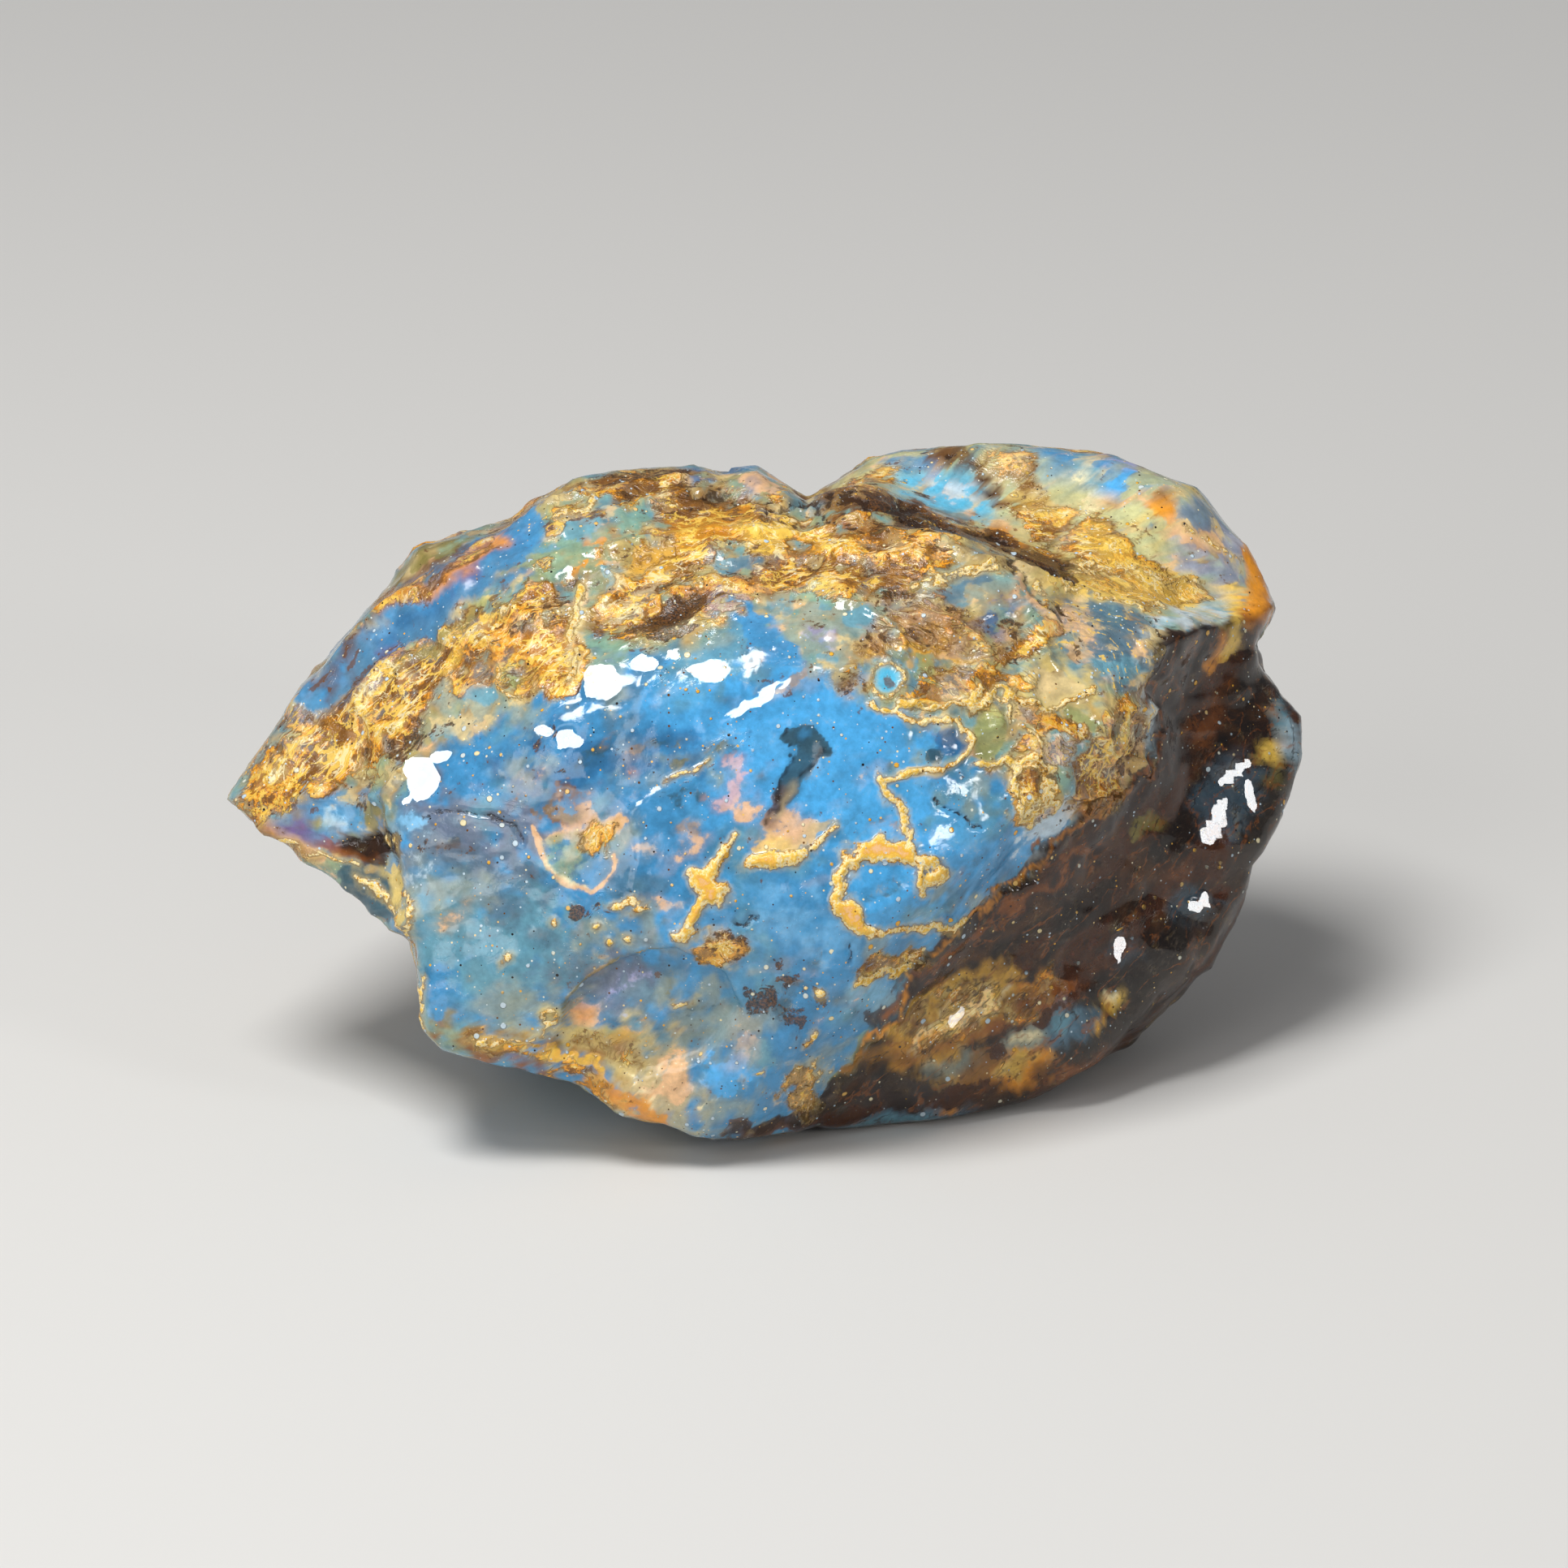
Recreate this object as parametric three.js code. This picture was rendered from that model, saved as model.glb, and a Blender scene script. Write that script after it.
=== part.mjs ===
// A rough piece of blue amber: one solid lump with a broken main face, a crust that slopes back over its
// shoulder, a pointed left end, a second lobe behind the upper right and a glassy flank below the right ridge.
//
// The lump is stated in its own face frame, measured from its heart: x runs to the right along the piece,
// y runs up the main face and z stands out of it. Standing turns that frame so that +Z is up, the main face
// looks along -Y and leans back, and the piece rests on the flat patch broken into its underside.
//
// Each block is a convex lump bounded by broken facets. The blocks grow together with soft creases, the
// scoops and swells reshape their skin, the rest plane cuts the underside flat, and last the skin is drawn out
// or in near its rim to meet the corners of the broken outline.

import * as THREE from 'three';
import { mergeVertices } from 'three/addons/utils/BufferGeometryUtils.js';

// Driving dimensions, in millimetres and degrees.
const TIP_REACH = 24.9; // heart to the pointed left end
const RIGHT_REACH = 25.1; // heart to the rounded right end
const CROWN_RISE = 16.5; // heart to the top of the lobe
const KEEL_DROP = 16.1; // heart to the lowest edge of the main face
const FACE_DEPTH = 12.8; // heart to the main face
const BACK_DEPTH = 12.6; // heart to the hidden back
const FACE_LEAN = 22; // the main face leans back this far from upright
const REST_DROP = 13.5; // heart to the plane that the piece rests on
const BODY_ROUNDING = 1.1; // how far the body's worn edges spread
const TIP_ROUNDING = 0.9;
const LOBE_ROUNDING = 1.4;
const CREASE_ROUNDING = 1.1; // how far a crease between two blocks spreads
const REST_ROUNDING = 1.2; // the worn rim of the flat patch
const SKIN_SWELL = 0.12; // gives back what the rounding takes off the blocks
const PATCH_STEPS = 24; // mesh steps along each side of the six patches
const PATCH_STRETCH = [1.7, 1.15, 1.0]; // spreads the mesh evenly over the long piece
const RIM_BEARINGS = 180; // places round the outline where the form's own reach is found
const RIM_STEEPEST = 62; // the outline lies within this many degrees of the x-y plane
const RIM_STEP = 3;
const RIM_STILL = 0.4; // share of the way out where the skin is first drawn to the broken outline
const RIM_SETTLED = 1.5; // the skin lower than this above the rest plane is drawn less and less

// A facet passes through a point, and its outward normal has a bearing, counted from +x towards +y, and a
// lean out of the x-y plane towards +z.
function facet(x, y, z, bearing, lean) {
  const turn = THREE.MathUtils.degToRad(bearing);
  const rise = THREE.MathUtils.degToRad(lean);
  const normal = new THREE.Vector3(
    Math.cos(rise) * Math.cos(turn),
    Math.cos(rise) * Math.sin(turn),
    Math.sin(rise),
  );
  return new THREE.Plane(normal, -normal.dot(new THREE.Vector3(x, y, z)));
}

const mainFace = [
  facet(-2.0, -2.0, FACE_DEPTH, 100, 84), // middle of the face
  facet(-14.0, -3.0, 10.6, 190, 73), // falling to the left edge
  facet(-4.0, -11.0, 10.7, 262, 68), // falling to the lower edge
  facet(8.0, -2.0, 11.9, 355, 79), // towards the right ridge
  facet(13.0, 1.5, 9.6, 22, 66), // towards the upper right
];

const crust = [
  facet(-3.0, 8.5, 8.8, 98, 42), // slope behind the shoulder
  facet(8.0, 7.0, 9.2, 56, 54), // hump on the right
  facet(-14.5, 4.5, 7.6, 138, 48), // slope above the left end
  facet(-4.0, 13.0, 3.2, 95, 26), // top edge
  facet(-13.5, 10.0, 3.0, 128, 30), // top left edge
];

const lowerEdges = [
  facet(-17.0, -5.5, 6.0, 189, 2),
  facet(-15.5, -11.5, 5.0, 228, -6),
  facet(-10.5, -13.2, 5.0, 250, -10),
  facet(-3.8, -KEEL_DROP + 0.2, 5.0, 258, -12),
  facet(3.0, -KEEL_DROP, 4.0, 270, -8),
];

const rightDrop = [
  facet(4.2, -11.6, 9.4, 298, 32),
  facet(9.6, -6.0, 9.8, 315, 31),
  facet(14.8, 0.0, 7.8, 318, 32),
  facet(18.4, 5.0, 4.5, 342, 26),
];

const outline = [
  facet(-18.4, 8.3, 1.0, 136, -4),
  facet(-13.8, 11.5, 1.0, 114, -6),
  facet(-8.4, 14.1, 1.0, 106, -6),
  facet(-3.0, 14.8, 0.0, 92, -4),
  facet(12.0, 11.2, 1.5, 70, 14),
  facet(23.4, 8.0, -5.0, 14, 2),
  facet(24.6, -1.0, -5.0, 340, 4),
  facet(20.6, -8.4, -3.0, 325, 4),
  facet(16.9, -12.1, -2.0, 305, 2),
  facet(11.0, -15.0, 0.0, 291, -4),
];

const hiddenBack = [
  facet(0.0, 0.0, -BACK_DEPTH, 80, -82),
  facet(-14.0, 2.0, -9.6, 176, -58),
  facet(17.0, -2.0, -9.8, 350, -56),
  facet(-4.0, 10.0, -10.6, 100, -52),
  facet(8.0, 12.0, -9.6, 60, -38),
  facet(2.0, -8.0, -11.6, 262, -56),
  facet(-10.0, -8.0, -9.6, 222, -50),
];

const leftTip = [
  facet(-TIP_REACH, -0.4, 2.0, 187, 2), // blunt point
  facet(-22.8, 3.9, 1.5, 149, 2),
  facet(-18.7, 8.2, 1.0, 137, -2),
  facet(-20.0, 1.5, 5.2, 172, 62), // its top
  facet(-18.0, 5.0, 4.4, 140, 52),
  facet(-21.3, -3.0, 2.0, 236, -16), // undercut below the point
  facet(-14.0, -4.0, 0.0, 268, -20),
  facet(-12.0, 0.0, 0.0, 350, 30), // root inside the body
  facet(-16.0, 8.8, 0.0, 104, -4),
  facet(-19.0, 0.0, -5.0, 196, -50), // its back
  facet(-12.0, 0.0, -8.0, 90, -80),
];

const backLobe = [
  facet(2.8, 14.4, -5.0, 124, -6), // outline, from the notch round to the right
  facet(5.2, CROWN_RISE - 0.4, -5.0, 104, 2),
  facet(11.5, CROWN_RISE, -6.0, 89, 2),
  facet(19.0, 15.4, -6.0, 66, 2),
  facet(22.2, 13.0, -6.0, 40, 2),
  facet(24.2, 9.8, -5.0, 18, 0),
  facet(23.9, 7.4, -4.0, 322, 0),
  facet(12.0, 12.8, -1.6, 96, 50), // front, behind the long crease
  facet(20.6, 11.0, -1.6, 35, 52),
  facet(18.6, 8.0, 0.8, 340, 68),
  facet(10.0, 3.0, -6.0, 270, -30), // back
  facet(1.5, 10.0, -6.0, 190, -36),
  facet(12.0, 8.0, -BACK_DEPTH, 70, -74),
  facet(21.0, 8.0, -9.4, 12, -40),
  facet(16.0, 4.0, -9.6, 320, -56),
  facet(12.0, 14.0, -10.4, 92, -40),
];

const glassyFlank = [
  facet(24.5, 4.8, -5.0, 26, 4), // outline, from the right end down
  facet(RIGHT_REACH, 1.2, -5.0, 352, 4),
  facet(23.7, -3.2, -4.0, 336, 4),
  facet(20.9, -8.4, -3.0, 326, 4),
  facet(17.2, -12.1, -2.0, 306, 2),
  facet(11.5, -14.9, 0.0, 291, -4),
  facet(5.5, -KEEL_DROP - 0.1, 1.0, 268, -8),
  facet(22.0, 3.0, -1.0, 10, 52), // front, outside the scooped valley
  facet(20.0, -4.0, 1.4, 338, 56),
  facet(14.0, -10.0, 4.0, 300, 58),
  facet(8.0, -13.0, 5.4, 285, 58),
  facet(19.0, 7.0, -4.0, 80, 10), // root inside the body
  facet(2.0, -12.0, -2.0, 200, -10),
  facet(4.0, 0.0, -2.0, 135, 10),
  facet(12.0, -2.0, -9.0, 330, -70), // back
  facet(19.6, -4.0, -7.4, 340, -38),
  facet(8.0, -13.0, -6.0, 276, -44),
];

const blocks = [
  {
    rounding: BODY_ROUNDING,
    facets: [...mainFace, ...crust, ...lowerEdges, ...rightDrop, ...outline, ...hiddenBack],
  },
  { rounding: TIP_ROUNDING, facets: leftTip },
  { rounding: LOBE_ROUNDING, facets: backLobe },
  { rounding: BODY_ROUNDING, facets: glassyFlank },
];

// A scoop or swell moves the skin near its middle: out by its height, or in where the height is below zero.
function skinShape(x, y, z, radius, height) {
  return { middle: new THREE.Vector3(x, y, z), radius, height };
}

const skinShapes = [
  skinShape(1.7, 15.4, -1.5, 2.4, -1.4), // notch between the crust and the lobe
  skinShape(-12.6, 13.4, 1.0, 2.2, -0.9), // dip in the top left outline
  skinShape(24.2, 7.6, -4.0, 1.8, -1.0), // nick between the lobe and the flank
  skinShape(23.6, -3.4, -3.0, 1.6, -0.8), // nick in the right outline
  skinShape(-9.0, -14.2, 4.0, 3.0, -0.8), // hollow in the lower left edge
  skinShape(1.7, -16.9, 3.0, 1.4, -0.8), // nick in the lower edge
  skinShape(9.5, 9.5, 6.5, 3.2, 0.7), // hump on the crust
  skinShape(-2.0, -12.0, 12.0, 4.5, -0.5), // shallow flake scar low on the face
  skinShape(-3.0, 3.0, -14.0, 5.5, -1.3), // flake scars on the back
  skinShape(9.0, -7.0, -12.5, 5.0, -1.1),
];

// Corners of the broken outline, square on to the main face, from the point clockwise.
const brokenOutline = [
  [-TIP_REACH, -0.4], [-21.6, 4.9], [-18.4, 8.5], [-16.4, 11.1], [-14.2, 11.9], [-12.0, 12.6], [-10.7, 13.5],
  [-9.0, 14.5], [-7.1, 14.9], [-3.3, 15.1], [-1.9, 14.6], [-0.4, 14.9], [2.0, 13.8], [4.9, 15.5],
  [6.4, 15.9], [10.2, 16.1], [13.2, 16.0], [16.5, 15.6], [20.3, 14.2], [22.7, 11.5], [23.9, 8.6],
  [23.0, 6.8], [24.6, 4.5], [RIGHT_REACH, 3.4], [24.2, -1.3], [22.5, -4.4], [20.7, -8.3], [17.7, -11.1],
  [15.4, -12.8], [11.7, -14.5], [7.6, -16.0], [2.3, -15.5], [-1.2, -16.3], [-3.4, -16.0], [-6.8, -14.9],
  [-8.6, -13.7], [-11.7, -12.8], [-14.9, -12.0], [-15.7, -11.2], [-16.5, -7.2], [-19.5, -4.5], [-23.0, -2.2],
].map(([x, y]) => new THREE.Vector2(x, y));

// The signed distances to a block's facets are blended by a soft maximum, which rounds the edges.
function blockDistance(block, point) {
  const width = 0.35 * block.rounding;
  const distances = block.facets.map((plane) => plane.distanceToPoint(point));
  const nearest = Math.max(...distances);
  const blend = distances.reduce((sum, value) => sum + Math.exp((value - nearest) / width), 0);
  return nearest + width * Math.log(blend) - SKIN_SWELL;
}

// The lower of two distances, with the crease where they meet filled over a given width.
function softLower(first, second, width) {
  const share = THREE.MathUtils.clamp(0.5 + (0.5 * (second - first)) / width, 0, 1);
  return THREE.MathUtils.lerp(second, first, share) - width * share * (1 - share);
}

// Upright height of a point of the face frame above the heart.
function heightAboveHeart(point) {
  const lean = THREE.MathUtils.degToRad(FACE_LEAN);
  return point.y * Math.cos(lean) + point.z * Math.sin(lean);
}

// Distance from a point of the face frame to the lump's skin, below zero inside it.
function lumpDistance(point) {
  let distance = blocks
    .map((block) => blockDistance(block, point))
    .reduce((first, second) => softLower(first, second, CREASE_ROUNDING));
  for (const shape of skinShapes) {
    const away = point.distanceTo(shape.middle) / shape.radius;
    distance -= shape.height * Math.exp(-away * away);
  }
  const belowRest = -REST_DROP - heightAboveHeart(point);
  return -softLower(-distance, -belowRest, REST_ROUNDING);
}

// The outermost skin point along a ray from the heart, found by walking inwards from clear air.
function skinPoint(direction) {
  const start = 1.3 * RIGHT_REACH;
  const point = new THREE.Vector3();
  let reach = start;
  for (let step = 0; step < 200; step += 1) {
    const distance = lumpDistance(point.copy(direction).multiplyScalar(reach));
    if (distance < 0.0005) {
      break;
    }
    reach -= 0.8 * distance;
  }
  return point.copy(direction).multiplyScalar(reach);
}

// How far the form's own skin reaches across the x-y plane, at even bearings all round the heart.
function ownReaches() {
  const direction = new THREE.Vector3();
  return Array.from({ length: RIM_BEARINGS }, (_, slot) => {
    const bearing = (slot / RIM_BEARINGS) * 2 * Math.PI;
    let reach = 0;
    for (let rise = -RIM_STEEPEST; rise <= RIM_STEEPEST; rise += RIM_STEP) {
      const lean = THREE.MathUtils.degToRad(rise);
      direction.set(Math.cos(bearing) * Math.cos(lean), Math.sin(bearing) * Math.cos(lean), Math.sin(lean));
      const skin = skinPoint(direction);
      reach = Math.max(reach, Math.hypot(skin.x, skin.y));
    }
    return reach;
  });
}

// How far the broken outline lies from the heart at a bearing: a ray meets one of its straight stretches.
function brokenReach(bearing) {
  const ray = new THREE.Vector2(Math.cos(bearing), Math.sin(bearing));
  for (let index = 0; index < brokenOutline.length; index += 1) {
    const start = brokenOutline[index];
    const along = brokenOutline[(index + 1) % brokenOutline.length].clone().sub(start);
    const across = ray.cross(along);
    const share = start.cross(ray) / across;
    const reach = start.cross(along) / across;
    if (share >= 0 && share <= 1 && reach > 0) {
      return reach;
    }
  }
  throw new Error('the broken outline has a gap');
}

// Draws a skin point out or in, across the x-y plane, more and more towards the rim.
function drawToOutline(point, reaches) {
  const bearing = Math.atan2(point.y, point.x);
  const place = THREE.MathUtils.euclideanModulo((bearing / (2 * Math.PI)) * RIM_BEARINGS, RIM_BEARINGS);
  const slot = Math.floor(place);
  const own = THREE.MathUtils.lerp(reaches[slot], reaches[(slot + 1) % RIM_BEARINGS], place - slot);
  const share = THREE.MathUtils.smoothstep(Math.hypot(point.x, point.y) / own, RIM_STILL, 1)
    * THREE.MathUtils.smoothstep(REST_DROP + heightAboveHeart(point), 0, RIM_SETTLED);
  const scale = 1 + (brokenReach(bearing) / own - 1) * share;
  point.set(point.x * scale, point.y * scale, point.z);
  return point;
}

// The six patches of a box are spread over the sphere of directions and dropped onto the skin.
function lumpGeometry() {
  const box = new THREE.BoxGeometry(1, 1, 1, PATCH_STEPS, PATCH_STEPS, PATCH_STEPS);
  box.deleteAttribute('normal');
  box.deleteAttribute('uv');
  const geometry = mergeVertices(box, 1e-4);
  const places = geometry.getAttribute('position');
  const evenly = (side) => Math.tan((side * Math.PI) / 2);
  const lean = THREE.MathUtils.degToRad(FACE_LEAN);
  const stand = new THREE.Matrix4().makeRotationX(Math.PI / 2 - lean);
  const reaches = ownReaches();
  const direction = new THREE.Vector3();
  for (let index = 0; index < places.count; index += 1) {
    direction.fromBufferAttribute(places, index);
    direction.set(
      evenly(direction.x) * PATCH_STRETCH[0],
      evenly(direction.y) * PATCH_STRETCH[1],
      evenly(direction.z) * PATCH_STRETCH[2],
    );
    const skin = drawToOutline(skinPoint(direction.normalize()), reaches).applyMatrix4(stand);
    const height = skin.z + REST_DROP;
    places.setXYZ(index, skin.x, skin.y, height < 0.02 ? 0 : height);
  }
  geometry.computeBoundingBox();
  const middle = geometry.boundingBox.getCenter(new THREE.Vector3());
  geometry.translate(-middle.x, -middle.y, 0);
  geometry.computeVertexNormals();
  return geometry;
}

const blueAmber = new THREE.MeshStandardMaterial({ color: 0x4b86a8, roughness: 0.22, metalness: 0 });

const amberLump = new THREE.Mesh(lumpGeometry(), blueAmber);
amberLump.name = 'amber_lump';

const specimen = new THREE.Group();
specimen.add(amberLump);

export default specimen;
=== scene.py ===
"""A rough lump of blue amber: milky blue on its broken main face, golden mineral crust over its shoulder
and clear brown resin below its right ridge. One closed skin is worked out from the facets that bound it.

Sizes are in millimetres in the lump's own face frame, measured from its heart: x runs to the right along
the piece, y runs up the main face and z stands out of it. The last step stands it upright, in metres.
"""

import logging
from dataclasses import dataclass, field
from enum import Enum

import bpy
import numpy as np
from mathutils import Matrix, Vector


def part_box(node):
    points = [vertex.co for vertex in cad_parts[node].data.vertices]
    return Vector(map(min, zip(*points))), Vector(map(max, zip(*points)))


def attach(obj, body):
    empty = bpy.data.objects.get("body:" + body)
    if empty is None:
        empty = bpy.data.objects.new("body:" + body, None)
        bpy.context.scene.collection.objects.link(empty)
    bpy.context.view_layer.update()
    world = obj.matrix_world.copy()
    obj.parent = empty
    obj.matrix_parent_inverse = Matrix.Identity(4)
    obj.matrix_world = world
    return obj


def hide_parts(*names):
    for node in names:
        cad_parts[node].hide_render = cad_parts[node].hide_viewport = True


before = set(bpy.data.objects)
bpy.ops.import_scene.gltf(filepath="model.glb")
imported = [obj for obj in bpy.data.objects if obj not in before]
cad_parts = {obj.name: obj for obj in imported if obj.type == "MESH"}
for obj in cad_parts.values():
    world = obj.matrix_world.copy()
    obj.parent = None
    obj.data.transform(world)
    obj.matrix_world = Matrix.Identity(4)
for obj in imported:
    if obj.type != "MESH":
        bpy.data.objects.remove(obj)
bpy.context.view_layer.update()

LOG = logging.getLogger("blue_amber")
NODE = "amber_lump"
MM = 0.001

Array = np.ndarray
Point = tuple[float, float]


class Tint(Enum):
    """Colours seen in the resin and its crust, as sRGB hex."""

    AZURE = "#50AEEA"
    SKY = "#8CCBF2"
    BLUE = "#4490C2"
    DEEP = "#2E6C9E"
    CYAN = "#55BEE4"
    TEAL = "#6A9FB0"
    SLATE = "#355666"
    SEA = "#84A88E"
    MOSS = "#A3A86C"
    LIME = "#D2CF94"
    OLIVE = "#85793A"
    HEATHER = "#727A8E"
    VIOLET = "#6E5A92"
    LILAC = "#AEB0DC"
    ICE = "#C6DAE6"
    PEACH = "#F0BE8C"
    ROSE = "#D9B2B6"
    TAN = "#DCC48C"
    SAND = "#C49C54"
    WHEAT = "#E8CC78"
    STEEL = "#587A8E"
    MIST = "#98A496"
    OCHRE = "#98661F"
    CREAM = "#FAEBB8"
    GOLD = "#ECB038"
    HONEY = "#F8CC58"
    ORANGE = "#EC981E"
    RUST = "#98561E"
    UMBER = "#6B4218"
    BARK = "#2E1A0C"
    PLUM = "#2E2423"
    INK = "#150B06"
    SMOKE = "#37312B"
    DUST = "#8C7B68"
    AMBER = "#8A4A1E"


class Coat(Enum):
    """What lies on the resin, each kept as a named value over the skin."""

    GILD = "gild"  # share of the skin that golden crust covers
    SOIL = "soil"  # share that dark brown grit covers
    VEIN = "vein"  # how far inside a golden vein, in mm
    CRACK = "crack"  # how far inside a dark crack, in mm
    SMOOTH = "smooth"  # share that has lost its crust and shows smooth resin


(
    AZURE, SKY, BLUE, DEEP, CYAN, TEAL, SLATE, SEA, MOSS, LIME, OLIVE, HEATHER, VIOLET, LILAC, ICE, PEACH,
    ROSE, TAN, SAND, WHEAT, STEEL, MIST, OCHRE, CREAM, GOLD, HONEY, ORANGE, RUST, UMBER, BARK, PLUM, INK,
    SMOKE, DUST, AMBER,
) = Tint
GILD, SOIL, VEIN, CRACK, SMOOTH = Coat


def linear(hex_colour: str) -> tuple[float, float, float]:
    """Turns an sRGB hex colour, such as "#4AA3E6", into linear red, green and blue from 0 to 1."""
    shares = (int(hex_colour[at : at + 2], 16) / 255 for at in (1, 3, 5))
    return tuple(s / 12.92 if s <= 0.04045 else ((s + 0.055) / 1.055) ** 2.4 for s in shares)


def rgba(tint: Tint) -> tuple[float, float, float, float]:
    """A tint in linear light with full cover, as a node takes it."""
    return (*linear(tint.value), 1.0)


def softstep(low: float, high: float, value: Array) -> Array:
    """Rises from 0 at low to 1 at high, as 3t^2 - 2t^3."""
    share = np.clip((value - low) / (high - low), 0.0, 1.0)
    return share * share * (3 - 2 * share)


def blend(first: Array, second: Array, share: Array) -> Array:
    """Goes in a straight line from the first array to the second."""
    return first + (second - first) * share


def several(kind: type, *values: tuple) -> tuple:
    """Things of one kind, one for each row of its values."""
    return tuple(kind(*row) for row in values)


# --- patterns over space ---

GRAIN_MIDDLE = (4.0, -20.0)  # mm, where the arcs of the crust's grain have their middle
GRAIN_REACH = 30.0  # mm from there to the crust
GRAIN_STRETCH = 2.4  # how many times longer the crust's strands are than wide
FLANK_BEARING = 42.0  # degrees from +x towards +y, along which the glassy flank is drawn out


def scramble(corner: Array, seed: int) -> Array:
    """Gives each whole-numbered corner its own 32 bits.

    Args:
        corner: corners as whole numbers, one row each.
        seed: which of many such tables.

    Returns:
        The bits as unsigned numbers.
    """
    whole = corner.astype(np.int64).astype(np.uint32)
    bits = whole[..., 0] * np.uint32(374761393) + whole[..., 1] * np.uint32(668265263)
    bits = bits + whole[..., 2] * np.uint32(2246822519) + np.uint32(seed * 3266489917 % 4294967296)
    bits = (bits ^ (bits >> np.uint32(15))) * np.uint32(2654435761)
    bits = (bits ^ (bits >> np.uint32(13))) * np.uint32(1274126177)
    return bits ^ (bits >> np.uint32(16))


def three_shares(bits: Array) -> Array:
    """Splits 32 bits into three numbers from 0 to 1."""
    parts = [(bits >> np.uint32(shift)) & np.uint32(1023) for shift in (0, 10, 20)]
    return np.stack(parts, -1) / 1023.0


def clouds(points: Array, seed: int) -> Array:
    """Gradient noise: each lattice corner has a slope, and eased shares of the eight slopes around add up.

    Args:
        points: places in units of one cloud, one row each.
        seed: which pattern.

    Returns:
        One value a place, about -1 to 1.
    """
    base = np.floor(points)
    part = points - base
    ease = part * part * part * (part * (part * 6 - 15) + 10)
    total = np.zeros(len(points))
    for step in np.ndindex(2, 2, 2):
        offset = np.array(step)
        slope = three_shares(scramble(base + offset, seed)) * 2 - 1
        share = np.prod(np.where(offset, ease, 1 - ease), axis=1)
        total += share * ((part - offset) * slope).sum(1)
    return total * 1.7


def fractal(points: Array, size: float, seed: int, octaves: int = 4) -> Array:
    """Clouds of a size in mm over places in mm, with halved clouds at half strength: about -1 to 1."""
    layers = [clouds(points * (2.0**level / size), seed + level) * 0.5**level for level in range(octaves)]
    return sum(layers)


def ridges(points: Array, size: float, seed: int, octaves: int = 4) -> Array:
    """Sharp crests where clouds change sign: the square of one less the cloud's size, in halved layers.

    Args:
        points: places in mm.
        size: spacing of the largest crests in mm.
        seed: which pattern.
        octaves: how many sizes are added.

    Returns:
        One value a place, from 0 in the hollows to 1 on the crests.
    """
    total = np.zeros(len(points))
    keep = np.ones(len(points))
    for level in range(octaves):
        crest = np.clip(1 - np.abs(clouds(points * (2.0**level / size), seed + level)) * 1.6, 0, 1) ** 2
        total += crest * keep * 0.5**level
        keep = crest
    return np.clip(total / 1.5, 0, 1)


def cells(points: Array, size: float, seed: int) -> tuple[Array, Array, Array]:
    """Distances to the nearest of one random point in every lattice cell.

    Args:
        points: places in mm.
        size: width of a cell in mm.
        seed: which pattern.

    Returns:
        Distance to the nearest point and to the next one, in cells, and the nearest one's own three shares.
    """
    base = np.floor(points / size)
    part = points / size - base
    first = np.full(len(points), 9.0)
    second = np.full(len(points), 9.0)
    own = np.zeros((len(points), 3))
    for step in np.ndindex(3, 3, 3):
        offset = np.array(step) - 1
        shares = three_shares(scramble(base + offset, seed))
        away = np.linalg.norm(offset + shares - part, axis=1)
        closer = away < first
        second = np.where(closer, first, np.minimum(second, away))
        own[closer] = shares[closer]
        first = np.where(closer, away, first)
    return first, second, own


def stretched(points: Array, bearing: float, stretch: float) -> Array:
    """Places along a grain in x and y: distances along its bearing shrink, and those across it stay.

    Args:
        points: places in mm.
        bearing: which way the grain runs, in degrees from +x towards +y.
        stretch: how many times distances along it shrink.

    Returns:
        Each place's distance along the grain, across it and out of the face.
    """
    turn = np.radians(bearing)
    along = points[:, 0] * np.cos(turn) + points[:, 1] * np.sin(turn)
    across = points[:, 1] * np.cos(turn) - points[:, 0] * np.sin(turn)
    return np.stack([along / stretch, across, points[:, 2]], 1)


def flow(points: Array) -> Array:
    """Places seen along the crust's grain, which runs in arcs round a point below the lump.

    Args:
        points: places in mm.

    Returns:
        Distance along the arc, shrunk so that patterns draw out along it, distance from the arc's middle
        and distance out of the face, all bent by slow clouds.
    """
    bent = points + 0.5 * np.stack([fractal(points, 3.2, seed, 3) for seed in (401, 411, 421)], 1)
    x, y = bent[:, 0] - GRAIN_MIDDLE[0], bent[:, 1] - GRAIN_MIDDLE[1]
    reach = np.hypot(x, y)
    along = np.arctan2(x, y) * GRAIN_REACH / GRAIN_STRETCH
    return np.stack([along, reach, bent[:, 2]], 1)


# --- the lump's form ---


@dataclass(frozen=True)
class Facet:
    """A broken facet through a point; its normal has a bearing from +x towards +y and a lean towards +z."""

    x: float
    y: float
    z: float
    bearing: float
    lean: float

    def plane(self) -> tuple[float, float, float, float]:
        """Outward normal and distance from the heart."""
        turn, rise = np.radians((self.bearing, self.lean))
        normal = (np.cos(rise) * np.cos(turn), np.cos(rise) * np.sin(turn), np.sin(rise))
        return (*normal, float(np.dot(normal, (self.x, self.y, self.z))))


@dataclass(frozen=True)
class Swell:
    """A swell, or a scoop where the height is below zero, round a middle point."""

    x: float
    y: float
    z: float
    radius: float
    height: float

    def lift(self, points: Array) -> Array:
        """How far the skin moves out at each place: the height times exp(-(distance / radius)^2)."""
        away = ((points - (self.x, self.y, self.z)) ** 2).sum(1) / self.radius**2
        return self.height * np.exp(-away)


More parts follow.
